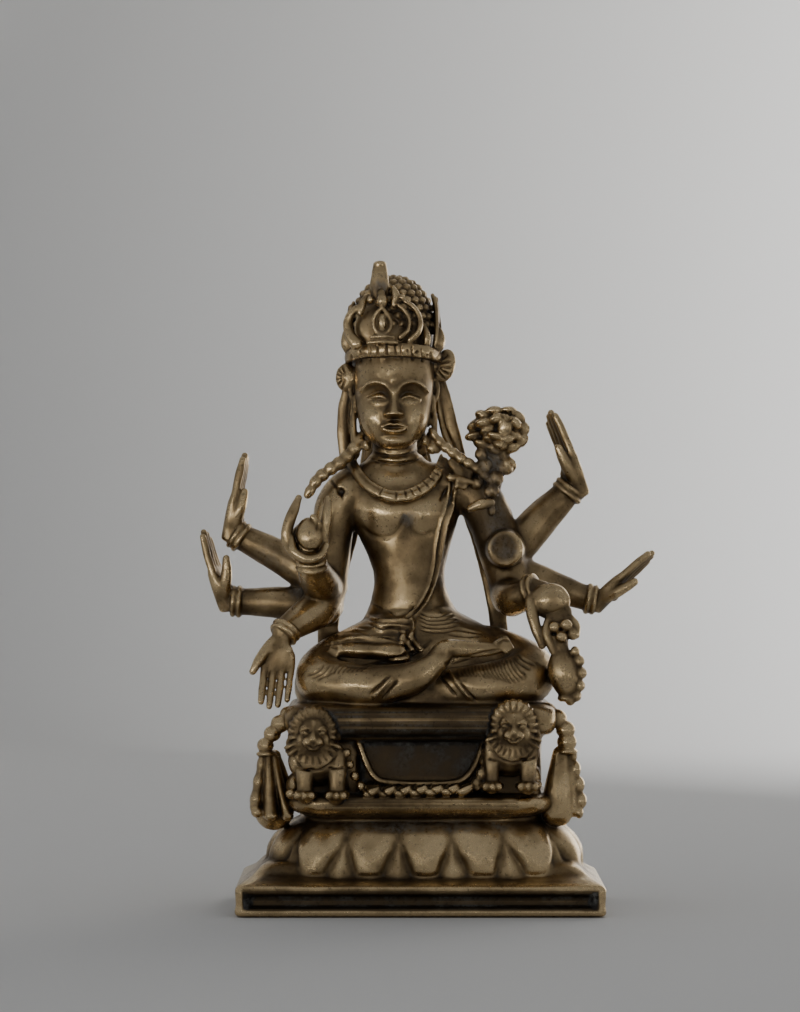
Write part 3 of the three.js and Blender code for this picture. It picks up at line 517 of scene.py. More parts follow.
def makeCloths():
    """Knotted cloth ends: lumps over the slab's corner, a knob with a collar, then hanging strands,
    some plain and some scalloped."""
    shells = []
    left = [(-38.6, -21, 58.6, 3.0), (-41.4, -21, 56.0, 2.9), (-43.8, -21, 53.0, 2.6), (-45.8, -20.6, 49.6, 2.5)]
    right = [(37.4, -21, 59.4, 3.2), (40.2, -21, 57.6, 3.2), (43.0, -21, 54.2, 2.9), (43.4, -20.6, 50.6, 3.0)]
    for x, y, z, r in left + right:
        shells.append(ovoid((x, y, z), (r, r, r * 0.92)))
    shells.append(ovoid((-45.6, -20.4, 47.0), (3.0, 3.0, 1.0)))
    shells.append(ovoid((43.2, -20.4, 47.8), (3.4, 3.4, 1.1)))

    def scallop(count, depth):
        return lambda angle, way: 1 - depth * (0.5 + 0.5 * np.cos(way * 2 * math.pi * count))

    # the figure's right side: three strands, the outer one scalloped, curled at the foot
    shells += [
        carried(
            [[-46.6, -20.4, 46.6, 1.2, 2.2], [-47.6, -20, 40, 1.7, 3.2], [-48.8, -19.6, 31.4, 2.1, 4.2]],
            around=24,
            shape=scallop(3, 0.2),
        ),
        carried([[-44.9, -20.8, 46.6, 1.3, 2], [-44.6, -20.4, 38, 2.1, 3], [-44.4, -20.2, 29.6, 2.5, 3.6]], around=24),
        carried([[-43.0, -20.2, 46.0, 1.1, 2], [-41.6, -19.6, 38, 1.5, 3.4], [-39.4, -19.0, 29.2, 1.9, 4.4]], around=24),
        carried([[-43.2, -17, 46.0, 2, 3], [-43.4, -15, 38, 5, 5], [-43.4, -14, 30, 6, 6]], around=24),
        ovoid((-48.2, -21.6, 29.8), (1.9, 1.9, 1.6)),
        ovoid((-44.2, -22.0, 28.8), (2.2, 2.2, 1.5)),
        ovoid((-39.2, -21.0, 28.8), (1.8, 2.2, 1.7)),
    ]
    # the figure's left side: a flat panel with a scalloped outer edge
    shells += [
        carried([[41.4, -20, 47, 2.4, 2.6], [41.0, -19, 38, 4.0, 4.6], [40.6, -18, 30.2, 4.7, 5.6]], around=28, power=3),
        carried([[43.2, -19, 47, 1.6, 2.4], [44.6, -18.6, 39, 2.2, 3.6], [45.4, -18, 30.6, 2.4, 4.2]], around=24),
    ]
    for x, z, r in ((45.2, 46.6, 1.5), (46.0, 42.4, 1.9), (46.9, 37.8, 2.0), (47.6, 33.2, 1.9), (47.0, 29.8, 1.4)):
        shells.append(ovoid((x, -19.4, z), (r * 0.9, 2.6, r * 1.35)))
    return shells


# legs and skirt

legs = {
    "rightLeg": [
        [-10, 4, 75, 11, 9],
        [-22, -4, 72.6, 10.2, 9.2],
        [-28.6, -12, 70.0, 8.6, 8.4],
        [-27.4, -19.6, 68.4, 7.2, 7.2],
        [-18.4, -25.0, 67.6, 6.2, 6.4],
        [-8, -27.6, 68.4, 5.4, 5.8],
        [-0.6, -28.4, 70.6, 4.6, 5.0],
        [4.4, -27.8, 74.4, 3.4, 4.0],
        [7.0, -26.8, 77.2, 2.9, 3.4],
    ],
    "leftLeg": [
        [9, 4, 75, 11, 9],
        [22, -3, 73.4, 10.6, 9.2],
        [31.4, -11, 70.8, 9.2, 8.6],
        [30, -18, 69.0, 8.0, 7.6],
        [22, -21.4, 67.6, 7.0, 7.0],
        [11, -21.6, 66.6, 6.0, 6.2],
        [0, -19, 66.0, 5.2, 5.4],
    ],
    # the right foot lies sole up on the left thigh, the left foot shows on the right thigh
    "rightFoot": [
        [4.6, -27.4, 75.2, 3.0, 3.6],
        [7.6, -27.0, 78.2, 2.9, 3.2],
        [12.6, -26.0, 78.2, 2.6, 2.6],
        [18.4, -24.6, 77.9, 2.1, 2.2],
        [23.6, -22.8, 78.3, 1.6, 1.8],
    ],
    "leftFoot": [
        [-5.6, -19.6, 75.6, 2.6, 3.0],
        [-8.4, -20.0, 76.8, 2.9, 3.2],
        [-13.4, -19.4, 77.4, 2.3, 2.9],
        [-20.2, -17.6, 77.6, 2.2, 2.6],
        [-25.2, -15.0, 77.2, 1.8, 2.2],
    ],
}


def makeLegs():
    """Crossed legs as carried ovals, the lap between them and the apron below."""
    shells = [carried(legs[k], across=(0, 0, 1), around=40, spacing=0.6) for k in ("rightLeg", "leftLeg")]
    lap = [
        [61.2, 35.4, 21.0, 12],
        [64, 36.8, 21.8, 13],
        [68, 37.0, 21.4, 14],
        [72, 35.4, 20.2, 15],
        [76, 32.4, 18.4, 15],
        [79.6, 28.2, 16.6, 14],
        [82.6, 23.6, 14.6, 13],
        [85.4, 18.0, 12.6, 11],
        [88.0, 13.0, 9.6, 8],
        [90, 9.0, 7.4, 6],
    ]
    shells.append(moulding(lap, count=240, spacing=0.6, centre=(-0.4, 0.6)))
    shells.append(ovoid((1, -18, 64.5), (26, 8.5, 4.4), power=2.6, fine=40))
    return shells


def makeFeet():
    """Both feet with their toes, the cloth's hems that fall from under the shins and the folds
    gathered in the lap."""
    shells = [carried(legs[k], across=(0, 0, 1), around=28, spacing=0.4) for k in ("rightFoot", "leftFoot")]
    for k in range(5):
        along = k / 4
        root = np.array([22.2 + 2.8 * along, -24.2 + 0.7 * along, 79.6 - 2.2 * along])
        tip = np.array([25.4 + 1.6 * along, -23.0 + 0.6 * along, 81.4 - 2.9 * along])
        shells.append(carried([[*root, 0.85], [*(root + tip) / 2, 0.8], [*tip, 0.62]], around=12, spacing=0.3))
    for k in range(4):
        along = k / 3
        root = np.array([-23.6 - 1.0 * along, -17.6, 78.6 - 2.4 * along])
        shells.append(carried([[*root, 0.95], [*(root + [-2.6, 1.4, -0.3]), 0.8]], around=12, spacing=0.3))
    # edge of the skirt over the left foot and the folds falling from the belt
    folds = [
        [[-26.0, -13.0, 79.6, 0.7], [-20.0, -16.4, 80.6, 0.9], [-12.0, -18.6, 80.4, 0.9], [-5.6, -18.6, 79.2, 0.8]],
        [[-6.0, -11.6, 84.6, 0.8], [-4.6, -15.4, 80.6, 1.0], [-2.4, -19.4, 77.6, 0.9]],
        [[-3.6, -11.4, 84.8, 0.7], [-2.2, -15.4, 80.8, 0.9], [0.2, -19.8, 77.8, 0.8]],
    ]
    shells += [carried(fold, across=(1, 0, 0), around=12, spacing=0.35) for fold in folds]
    return shells


# torso

torso = {
    "rings": [
        [78, 18.6, 12.6, 0.0, 2.6],
        [82, 17.6, 12.2, -0.6, 2.8],
        [86, 15.6, 11.4, -1.6, 3.0],
        [90, 12.9, 10.2, -2.4, 3.0],
        [94.5, 11.2, 9.3, -3.0, 3.0],
        [99, 10.6, 8.9, -3.2, 3.0],
        [104, 11.5, 9.0, -3.6, 2.9],
        [109, 13.3, 9.4, -4.0, 2.6],
        [114, 15.2, 9.8, -4.5, 2.4],
        [118.5, 16.8, 9.9, -4.9, 2.3],
        [122.5, 18.2, 9.4, -5.2, 2.6],
        [126, 19.2, 8.4, -5.6, 3.0],
        [129, 17.6, 7.5, -6.2, 3.2],
        [131.6, 13.4, 6.9, -6.8, 3.4],
        [134, 9.2, 6.6, -7.2, 3.4],
        [136, 7.4, 6.4, -7.3, 3.2],
    ],
}


def torsoRelief(x, y, z):
    """Chest, belly and loins as soft bumps on the front half only."""
    front = step(4, -2, y)
    out = swell(x, z, (-11.2, 119.5), (6.2, 5.0), 1.1)
    out += swell(x, z, (1.6, 119.0), (6.2, 5.0), 1.1)
    out += swell(x, z, (-4.2, 97.5), (7.0, 8.6), 1.5)
    out -= swell(x, z, (-4.6, 111.0), (1.6, 7.0), 0.5)
    out -= swell(x, z, (-3.0, 88.4), (8.0, 1.3), 0.8)
    out += swell(x, z, (-7.4, 128.6), (8.0, 1.6), 0.6)
    return front * out


def makeTorso():
    """The trunk as stacked rings with the relief, the neck with its folds, and the shoulders."""
    shells = [stacked(torso["rings"], around=160, power=2.15, push=torsoRelief)]
    shells.append(carried([[-7.4, 3.0, 130, 7.6, 7.0], [-7.6, 2.6, 135, 6.6, 6.2], [-7.8, 1.6, 141, 6.5, 6.4], [-7.8, 1.0, 146, 6.5, 6.4]], around=48, spacing=0.5))
    for z, r in ((134.4, 6.9), (136.4, 6.8), (138.2, 6.7)):
        shells.append(carried([[-14.0, 2.0, z + 1.0, 0.5], [-11.4, -3.0, z, 0.55], [-7.4, -4.4 + 0.2 * (r - 6.7), z - 0.5, 0.6], [-3.6, -3.0, z, 0.55], [-1.0, 2.0, z + 1.0, 0.5]], across=(0, 0, 1), around=12, spacing=0.4))
    return shells


def makeDress():
    """The torque, and the cloth end with its clasp on the figure's left shoulder."""
    torque = [
        [-21.0, 1.5, 133.4],
        [-19.0, -3.2, 130.0],
        [-16.2, -6.6, 126.6],
        [-12.4, -8.8, 124.0],
        [-7.8, -9.9, 122.6],
        [-3.0, -9.2, 123.2],
        [1.6, -7.2, 125.4],
        [5.2, -4.2, 129.2],
        [7.2, 1.0, 133.6],
    ]
    shells = [carried([[*p, 1.4, 1.4] for p in torque], across=(0, 0, 1), around=20, spacing=0.4)]
    inner = [[x * 0.95 - 0.4, y + 0.3, z + 1.9, 0.6] for x, y, z in torque]
    shells.append(carried(inner, across=(0, 0, 1), around=12, spacing=0.4))
    shells += [
        carried([[9.6, -3.6, 133.6, 1.5, 1.1], [11.6, -5.0, 130.4, 1.7, 1.1], [11.4, -6.4, 126.4, 1.4, 1.0]], around=16, spacing=0.4),
        carried([[13.6, -3.6, 133.0, 1.4, 1.1], [14.2, -4.8, 129.6, 1.5, 1.1], [13.0, -6.2, 126.0, 1.1, 1.0]], around=16, spacing=0.4),
        carried([[8.8, -5.6, 129.0, 1.1, 0.9], [12.2, -6.6, 128.0, 1.2, 0.9], [15.2, -5.8, 127.4, 1.0, 0.9]], across=(0, 0, 1), around=14, spacing=0.4),
    ]
    return shells


# head

head = {"x": -7.8, "y": 0.0, "chin": 137.4}
faceRule = {  # heights above the chin, by thirds of the 27 mm from chin to hair line
    "brow": 18.4,
    "eye": 15.0,
    "noseTip": 10.5,
    "noseBase": 9.3,
    "mouth": 6.2,
    "fold": 3.7,
}


def nearCurve(u, w, points):
    """The distance of every (u, w) from a smooth curve through the points."""
    line = smoothCurve([[p[0], p[1], 0] for p in points], 0.3)[:, :2]
    best = np.full(u.shape, 1e9)
    for k in range(len(line) - 1):
        a, d = line[k], line[k + 1] - line[k]
        t = np.clip(((u - a[0]) * d[0] + (w - a[1]) * d[1]) / (d @ d), 0, 1)
        best = np.minimum(best, np.hypot(u - a[0] - t * d[0], w - a[1] - t * d[1]))
    return best


def ridge(u, w, points, width, height):
    """A raised (or cut) line: height x exp(-(distance / width)^2)."""
    return height * np.exp(-((nearCurve(u, w, points) / width) ** 2))


def faceRelief(u, w):
    """The face as heights over the egg of the head: soft planes first, then nose, eyes, brows, lips.
    Both halves are alike, so everything is a function of |u| but for the nose's centre line."""
    r, s = faceRule, np.abs(u)
    out = -swell(s, w, (4.6, r["eye"] + 0.7), (3.6, 2.5), 1.9)
    out += swell(s, w, (6.4, 9.4), (3.2, 3.8), 1.1) + swell(u, w, (0, 2.0), (3.0, 2.0), 1.3)
    out += swell(u, w, (0, r["mouth"]), (4.6, 2.8), 0.9) - swell(u, w, (0, r["fold"]), (2.8, 0.7), 0.75)
    out += swell(u, w, (0, 22.6), (7.5, 3.6), 0.5)
    # nose: a ridge that grows to the tip, falls away under it, and wings beside it
    down = np.clip((r["brow"] + 0.6 - w) / (r["brow"] + 0.6 - r["noseTip"]), 0, 1.25)
    tall = (0.9 + 3.0 * np.clip(down, 0, 1) ** 1.35) * step(r["noseBase"] - 0.5, r["noseTip"] - 0.1, w)
    tall *= step(r["brow"] + 1.8, r["brow"] - 1.2, w)
    wide = 1.0 + 0.75 * np.clip(down, 0, 1) ** 2
    out += tall * np.exp(-((s / wide) ** 2.4))
    out += swell(s, w, (1.95, r["noseTip"] - 0.35), (0.85, 0.95), 1.7)
    out -= swell(s, w, (3.1, r["noseTip"] - 0.9), (0.6, 1.3), 0.4)
    # eye: ball, heavy upper lid, fold above it, thin lower lid, half-closed slit
    e = r["eye"]
    out += swell(s, w, (4.75, e + 0.1), (2.5, 1.7), 1.75)
    upper = [(2.0, e - 0.9), (3.3, e + 0.4), (5.2, e + 0.55), (7.6, e - 0.3)]
    crease = [(2.3, e + 0.5), (3.7, e + 1.75), (5.6, e + 1.8), (8.0, e + 0.6)]
    lower = [(2.0, e - 1.0), (3.6, e - 1.65), (5.4, e - 1.65), (7.5, e - 0.5)]
    slit = [(2.3, e - 0.8), (3.6, e - 0.35), (5.3, e - 0.3), (7.2, e - 0.45)]
    out += ridge(s, w, upper, 0.5, 0.55) + ridge(s, w, lower, 0.42, 0.4)
    out -= ridge(s, w, crease, 0.42, 0.6) + ridge(s, w, slit, 0.42, 0.6)
    # brow: a crisp arch from the nose's root, above a soft shelf
    b = r["brow"]
    arch = [(0.9, b - 1.5), (2.4, b + 0.5), (4.8, b + 1.35), (7.2, b + 0.8), (9.6, b - 1.3)]
    out += ridge(s, w, arch, 0.55, 0.95) + ridge(s, w, arch, 1.9, 0.45)
    # lips
    m = r["mouth"]
    out += ridge(s, w, [(0, m + 0.85), (0.9, m + 1.15), (2.2, m + 0.6), (3.5, m + 0.05)], 0.6, 1.15)
    out += ridge(s, w, [(0, m - 1.1), (1.3, m - 1.0), (2.9, m - 0.15)], 0.75, 1.2)
    out -= ridge(s, w, [(0, m - 0.1), (1.4, m + 0.05), (3.6, m - 0.1)], 0.38, 1.0)
    out -= swell(s, w, (4.0, m), (0.6, 0.7), 0.5) + swell(u, w, (0, m + 2.1), (0.5, 0.8), 0.35)
    out += swell(u, w, (0, b + 2.0), (0.62, 0.75), 0.75)  # the mark on the brow
    return out


def makeHead():
    """The egg of the head as stacked rings with the face's relief on the front, and long ears."""
    x, y, chin = head["x"], head["y"], head["chin"]
    rings = [
        [chin - 0.1, 2.6, 2.6, x, y - 7.0],
        [chin + 0.9, 4.9, 5.2, x, y - 5.6],
        [chin + 2.6, 7.3, 7.7, x, y - 3.9],
        [chin + 5.4, 9.3, 9.9, x, y - 2.1],
        [chin + 9, 10.6, 11.2, x, y - 1.0],
        [chin + 14, 11.4, 12.0, x, y - 0.3],
        [chin + 19, 11.8, 12.5, x, y],
        [chin + 24, 11.8, 12.7, x, y + 0.2],
        [chin + 29, 11.3, 12.3, x, y + 0.4],
    ]

    def relief(px, py, pz):
        return step(1.5, -4.5, py) * faceRelief(px - x, pz - chin)

    shells = [stacked(rings, around=320, spacing=0.26, power=2.15, push=relief)]
    for side in (-1, 1):
        outer = [
            (10.6, -1.6, 12.4, 0.6),
            (12.2, -0.6, 14.6, 0.8),
            (13.0, 0.6, 18.0, 0.85),
            (12.3, 0.4, 20.6, 0.8),
            (11.0, -1.6, 20.2, 0.65),
            (10.8, -2.8, 17.6, 0.6),
        ]
        lobe = [
            (11.6, -0.8, 15.6, 0.75, 1.5),
            (12.0, -1.0, 10.6, 0.8, 1.5),
            (11.9, -1.6, 5.0, 0.85, 1.5),
            (11.4, -2.0, 1.6, 1.1, 1.6),
        ]
        slot = [(12.9, -1.2, 9.6, 0.3), (12.8, -1.8, 4.0, 0.3)]
        shells += [
            carried([[x + side * a, y + b, chin + c, r] for a, b, c, r in outer], around=14, spacing=0.3),
            carried([[x + side * a, y + b, chin + c, r, q] for a, b, c, r, q in lobe], around=18, spacing=0.4),
            carried([[x + side * a, y + b, chin + c, r] for a, b, c, r in slot], around=10, spacing=0.4),
            ovoid((x + side * 11.3, y - 2.2, chin + 0.4), (1.7, 1.7, 2.1)),
        ]
    return shells


# crown and hair

crown = {"x": -8.0, "y": 0.4, "half": (13.0, 13.7), "band": 164.6, "tilt": 0.15, "height": 1.9}


def onCrown(angle, out=0.0, up=0.0):
    """A point on the band: an ellipse round the head, higher in front, at an angle from the front."""
    a = np.radians(angle)
    px = (crown["half"][0] + out) * np.sin(a)
    py = -(crown["half"][1] + out) * np.cos(a)
    z = crown["band"] + up - crown["tilt"] * py
    return np.stack(np.broadcast_arrays(crown["x"] + px, crown["y"] + py, z), -1)


def crownStops(rows):
    """Rows [angle, out, up, a, b] turned into stops on the crown."""
    return [[*onCrown(r[0], r[1], r[2]), r[3], r[4] if len(r) > 4 else r[3]] for r in rows]


plaque = {  # lines of the front ornament as [x, y, z, half width, half thickness]
    "plainCrescent": [
        [-18.2, -12.4, 179.4, 0.5, 0.9],
        [-20.4, -11.6, 178.0, 1.1, 1.4],
        [-21.6, -11.0, 174.6, 1.4, 1.6],
        [-20.8, -11.8, 171.0, 1.7, 1.7],
        [-19.0, -12.8, 168.6, 1.9, 1.6],
    ],
    "innerCrescent": [
        [-6.6, -13.8, 180.0, 0.5, 1.0],
        [-4.4, -13.8, 178.0, 0.75, 1.3],
        [-3.2, -13.4, 175.0, 0.8, 1.4],
        [-3.8, -13.6, 172.2, 0.8, 1.4],
        [-6.0, -14.0, 170.2, 0.7, 1.2],
    ],
    "outerCrescent": [
        [-4.6, -13.2, 181.2, 0.5, 1.0],
        [-1.6, -12.8, 179.0, 0.85, 1.4],
        [-0.1, -12.2, 175.4, 0.95, 1.5],
        [-0.6, -12.6, 172.0, 0.9, 1.5],
        [-3.0, -13.4, 169.4, 0.8, 1.3],
    ],
    "jewelRim": [
        [-11.4, -15.4, 179.2, 0.55],
        [-13.4, -15.0, 176.8, 0.65],
        [-13.9, -15.0, 174.4, 0.7],
        [-13.0, -15.4, 172.2, 0.7],
        [-11.2, -15.6, 171.2, 0.7],
        [-9.4, -15.4, 172.4, 0.7],
        [-8.7, -15.0, 174.6, 0.7],
        [-9.6, -15.0, 177.0, 0.65],
        [-11.4, -15.4, 179.2, 0.55],
    ],
}


def makeCrown():
    """Band, front plaque with its crescents and jewel, the finial, side leaves and small buds."""
    shells = []
    angles = np.linspace(0, 360, 49)
    band = onCrown(angles)
    high = crown["height"] * (0.72 + 0.28 * np.clip(np.cos(np.radians(angles)), 0, 1))
    shells.append(
        carried([[*p, h, 1.7] for p, h in zip(band, high)], across=(0, 0, 1), around=28, spacing=0.4, power=2.6, ends=0.2)
    )
    for k in (-1, 1):
        edge = onCrown(angles, 0.9, 0) + np.array([0, 0, 1]) * (k * (high - 0.35))[:, None]
        shells.append(carried([[*p, 0.5] for p in edge], across=(0, 0, 1), around=10, spacing=0.5, ends=0.2))
    # hair dome and the plaque's ground
    shells.append(ovoid((-8.0, 1.4, 171.5), (12.0, 11.6, 17.2), power=2.1))
    shells.append(ovoid((-10.4, -8.6, 173.6), (9.2, 2.6, 8.0), turn=(-10, 0, 0)))
    for label in ("plainCrescent", "innerCrescent", "outerCrescent"):
        shells.append(carried(plaque[label], across=(1, 0, 0.4), around=18, spacing=0.3, ends=1.1))
    shells.append(carried(plaque["jewelRim"], across=(0, 1, 0), around=12, spacing=0.3))
    shells += [
        ovoid((-11.3, -14.9, 174.8), (1.25, 1.5, 2.7)),
        ovoid((-11.4, -14.4, 181.2), (1.7, 1.8, 2.2)),
        ovoid((-11.6, -14.0, 183.4), (1.2, 1.3, 1.3)),
        carried([[-14.6, -15.0, 170.4, 0.6, 1.0], [-11.2, -15.8, 170.6, 0.65, 1.1], [-8.0, -15.2, 170.4, 0.6, 1.0]], across=(0, 0, 1), around=12, spacing=0.35),
        carried([[-15.4, -14.8, 168.8, 0.7, 1.0], [-11.2, -15.7, 169.0, 0.75, 1.1], [-7.2, -15.0, 168.8, 0.7, 1.0]], across=(0, 0, 1), around=12, spacing=0.35),
        # finial: a leaf, broad below, with a small cap, on a narrower root
        carried([[-11.8, -11.4, 180.6, 1.9, 1.8], [-12.0, -11.2, 183.6, 2.3, 2.0], [-12.1, -11.0, 185.6, 2.9, 2.3], [-12.0, -10.7, 188.6, 2.6, 2.3], [-12.0, -10.3, 191.2, 2.15, 2.0], [-12.0, -10.1, 192.2, 2.0, 1.9]], around=26, spacing=0.35, ends=0.5, power=2.5),
        ovoid((-12.0, -10.5, 192.3), (2.1, 2.1, 1.2)),
        # buds beside it
        carried([[-17.8, -11.6, 177.8, 1.1, 1.2], [-17.2, -11.4, 180.4, 1.3, 1.3], [-16.2, -10.8, 182.6, 0.8, 0.9]], around=14, spacing=0.35),
        carried([[-7.8, -12.4, 180.2, 1.1, 1.2], [-7.4, -12.2, 183.0, 1.35, 1.3], [-8.0, -11.6, 185.2, 0.8, 0.9]], around=14, spacing=0.35),
        ovoid((-14.8, -13.2, 181.6), (1.0, 1.1, 1.1)),
        ovoid((-5.4, -12.6, 182.4), (0.9, 1.0, 0.9)),
    ]
    # side leaves over scrolls, on both sides and round the back
    for angle, tall in ((-80, 16.2), (76, 18.4), (-128, 13), (126, 14), (180, 15)):
        shells += [
            carried(crownStops([[angle, -0.4, 1.0, 1.7, 1.4], [angle, 1.3, 3.8, 2.1, 1.7], [angle, 1.1, 7.0, 1.5, 1.4], [angle, 0.0, 8.6, 1.0, 1.0]]), across=(0, 1, 0), around=16, spacing=0.4),
            carried(crownStops([[angle, -0.6, 7.4, 1.2, 0.8], [angle, 0.3, 10.6, 2.0, 0.9], [angle, 0.0, tall - 3, 1.7, 0.8], [angle, -0.9, tall, 0.7, 0.6]]), across=(0, 1, 0), around=16, spacing=0.4),
        ]
        for shift in (-1, 1):
            edge = [[angle + shift * a, o, u, r] for a, o, u, r in ((7, 0.2, 1.8, 0.85), (8.5, 0.9, 5.0, 0.75), (7.6, 1.0, 9.0, 0.6), (3.0, 0.2, tall - 1, 0.5))]
            shells.append(carried(crownStops(edge), around=12, spacing=0.35))
    for angle in (-54, -104, 50, 102, 152, -154):
        shells.append(carried(crownStops([[angle, -0.6, 1.6, 1.1], [angle, 0.0, 4.6, 1.3], [angle, -1.2, 8.6, 0.7]]), around=12, spacing=0.4))
    return shells


def makeCurls():
    """Snail curls in staggered rows over the dome: on each row, knobs at even angles."""
    shells = []
    dome = {"x": -8.0, "y": 1.4, "z": 171.5, "half": (12.0, 11.6, 17.2)}
    for k, up in enumerate((3.0, 5.5, 8.0, 10.3, 12.4, 14.2, 15.6, 16.6, 17.1)):
        share = max(0.0, 1 - (up / dome["half"][2]) ** 2.1) ** 0.476
        radius = dome["half"][0] * share + 0.3
        count = max(3, int(2 * math.pi * radius / 2.7))
        for angle in np.radians(np.linspace(0, 360, count, endpoint=False) + 180 / count * (k % 2)):
            place = (dome["x"] + radius * math.sin(angle), dome["y"] - radius * 0.97 * math.cos(angle), dome["z"] + up)
            shells.append(ovoid(place, (1.35, 1.35, 1.2), fine=8))
    return shells


def makeHair():
    """Pleated bows over the ears, ribbons falling behind them, the braids on the shoulders and the
    fall of hair down the back."""
    shells = []
    for x, z, a, c, lean in ((-22.0, 158.9, 3.3, 4.3, 0), (7.4, 162.4, 3.2, 5.2, 16)):
        shells.append(ovoid((x, 1.0, z), (a, 1.9, c), turn=(0, lean, 0), across=2.4))
        shells.append(ovoid((x * 0.82 - 1.4, 0.8, z - 0.2), (1.8, 1.9, 2.2)))
    shells += [
        carried([[-21.2, 3.2, 157, 1.4, 0.9], [-22.6, 3.6, 151, 1.9, 1.0], [-23.0, 3.8, 144, 2.0, 1.0], [-22.6, 4.0, 138, 2.0, 1.0], [-22.0, 4.0, 132, 1.6, 1.0]], around=18, spacing=0.5),
        carried([[-19.8, 2.4, 155, 0.7, 0.8], [-20.4, 2.4, 147, 0.8, 0.8], [-20.2, 2.6, 139, 0.7, 0.8]], around=12, spacing=0.5),
        carried([[6.2, 3.2, 159, 1.2, 0.9], [7.4, 3.4, 153, 1.9, 1.0], [9.0, 3.8, 146, 2.1, 1.0], [11.2, 4.0, 139, 1.8, 1.0], [13.2, 4.0, 133, 1.2, 0.9]], around=18, spacing=0.5),
        carried([[5.2, 2.6, 156, 0.8, 0.8], [5.8, 2.6, 149, 0.9, 0.9], [7.4, 2.2, 142, 0.9, 0.8], [10.0, 0.6, 136.6, 0.8, 0.8]], around=14, spacing=0.5),
        # hair behind the ears and down the back
        carried([[-7.8, 9.4, 162, 9.6, 4.4], [-7.8, 10.6, 152, 10.2, 3.8], [-7.6, 10.4, 142, 9.0, 3.4], [-7.2, 10.0, 132, 10.6, 3.0], [-6.4, 11.2, 122, 9.0, 2.4], [-6.0, 11.4, 114, 5.0, 1.6]], around=44, shape=lambda angle, way: 1 + 0.05 * np.cos(14 * angle)),
    ]
    # braids: links one after another, bound by thin rings, lying on the shoulders
    braids = [
        ([[-17.6, -1.6, 141.6, 1.5], [-20.0, -2.4, 137.4, 1.8], [-23.6, -3.2, 133.6, 2.0], [-27.6, -3.8, 130.8, 2.0], [-31.2, -4.2, 127.6, 1.8], [-33.6, -4.6, 123.6, 1.4]], 3.1),
        ([[3.2, -2.6, 143.0, 1.2], [5.6, -3.4, 139.8, 1.4], [9.0, -4.6, 136.8, 1.6], [12.8, -5.0, 134.2, 1.6], [16.8, -5.0, 131.6, 1.5], [20.0, -4.6, 128.8, 1.2]], 2.8),
    ]
    for braid, pitch in braids:
        path = smoothCurve(braid, 0.25)
        run = np.arange(len(path)) * 0.25 / pitch
        path[:, 3] *= 0.72 + 0.34 * np.abs(np.sin(math.pi * run)) ** 0.6
        shells.append(carried([list(p) for p in path[::2]], around=16, spacing=0.3))
    for x, y, z, r in (
        (-16.6, -1.8, 144.0, 1.5),
        (-18.4, -0.8, 140.2, 1.8),
        (-16.0, -2.6, 138.4, 1.5),
        (-19.6, -0.6, 136.0, 1.6),
        (2.2, -2.4, 145.6, 1.3),
        (3.4, -1.4, 141.2, 1.6),
        (1.4, -2.6, 139.8, 1.3),
        (5.0, -2.0, 137.8, 1.5),
    ):
        shells.append(ovoid((x, y, z), (r, r, r * 1.25), shape=lambda angle, height: 1 + 0.1 * np.cos(4 * angle + 3 * height)))
    return shells


# arms and hands


def makeHand(wrist, up, palm, thumb, size=1.0, pitch=2.25, curl=0.1, fan=0.03, thumbOut=0.5, thumbIn=0.0, long=10.6):
    """A hand on a wrist: `up` runs to the finger tips, `palm` is where the palm faces, and the thumb
    lies along up x palm times thumb. Four fingers side by side at the pitch, each a tapering circle
    bent at two joints, fanned by `fan`; the thumb leans out and in front of the palm."""
    u = unit(up)
    n = np.asarray(palm, float)
    n = unit(n - (n @ u) * u)
    v = np.cross(u, n) * thumb

    def at(a, b, c):
        return np.asarray(wrist, float) + size * (a * u + b * v + c * n)

    w = 2 * pitch
    blade = [
        [*at(-2.6, 0, 0), 2.6 * size, 2.4 * size],
        [*at(0.6, 0.1, 0), 2.9 * size, 2.3 * size],
        [*at(3.6, 0.3, 0.1), 0.9 * w * size, 2.2 * size],
        [*at(6.8, 0.1, -0.1), 0.97 * w * size, 1.8 * size],
        [*at(9.2, 0, -0.2), 0.9 * w * size, 1.3 * size],
    ]
    shells = [
        carried(blade, across=tuple(v), around=32, spacing=0.4, power=2.5, ends=0.5),
        ovoid(at(3.6, 0.5 * w, 1.1), (1.9 * size, 1.7 * size, 1.7 * size)),
        ovoid(at(3.4, -0.45 * w, 0.9), (1.7 * size, 1.4 * size, 1.8 * size)),
    ]
    for i, (share, radius) in enumerate(((0.93, 1.12), (1.0, 1.15), (0.96, 1.12), (0.84, 1.02))):
        place = 1.5 - i
        lean, bend = place * fan, 0.0
        a, b, c = 8.6 - 0.3 * abs(place - 0.5), place * pitch, 0.05
        stops = [[*at(a - 3.2, b * 0.96, -0.5), radius * 0.9 * size], [*at(a, b, c), radius * size]]
        for joint, part in enumerate((0.4, 0.33, 0.27)):
            bend += curl * (1.0, 1.4, 1.0)[joint]
            a += long * share * part * math.cos(bend) * math.cos(lean)
            b += long * share * part * math.sin(lean)
            c += long * share * part * math.sin(bend)
            stops.append([*at(a, b, c), radius * size * (0.97, 0.93, 0.8)[joint]])
        shells.append(carried(stops, across=tuple(v), around=16, spacing=0.35, ends=1.0))
    t = thumbOut
    stops = [
        [*at(1.0, 0.36 * w, 0.8), 1.7 * size],
        [*at(4.2, 0.62 * w + 1.1 * t, 1.4 + thumbIn), 1.65 * size],
        [*at(7.4, 0.7 * w + 2.8 * t, 1.7 + 2 * thumbIn), 1.45 * size],
        [*at(10.4, 0.72 * w + 4.4 * t, 1.8 + 2.7 * thumbIn), 1.05 * size],
    ]
    shells.append(carried(stops, across=tuple(v), around=16, spacing=0.35))
    return shells


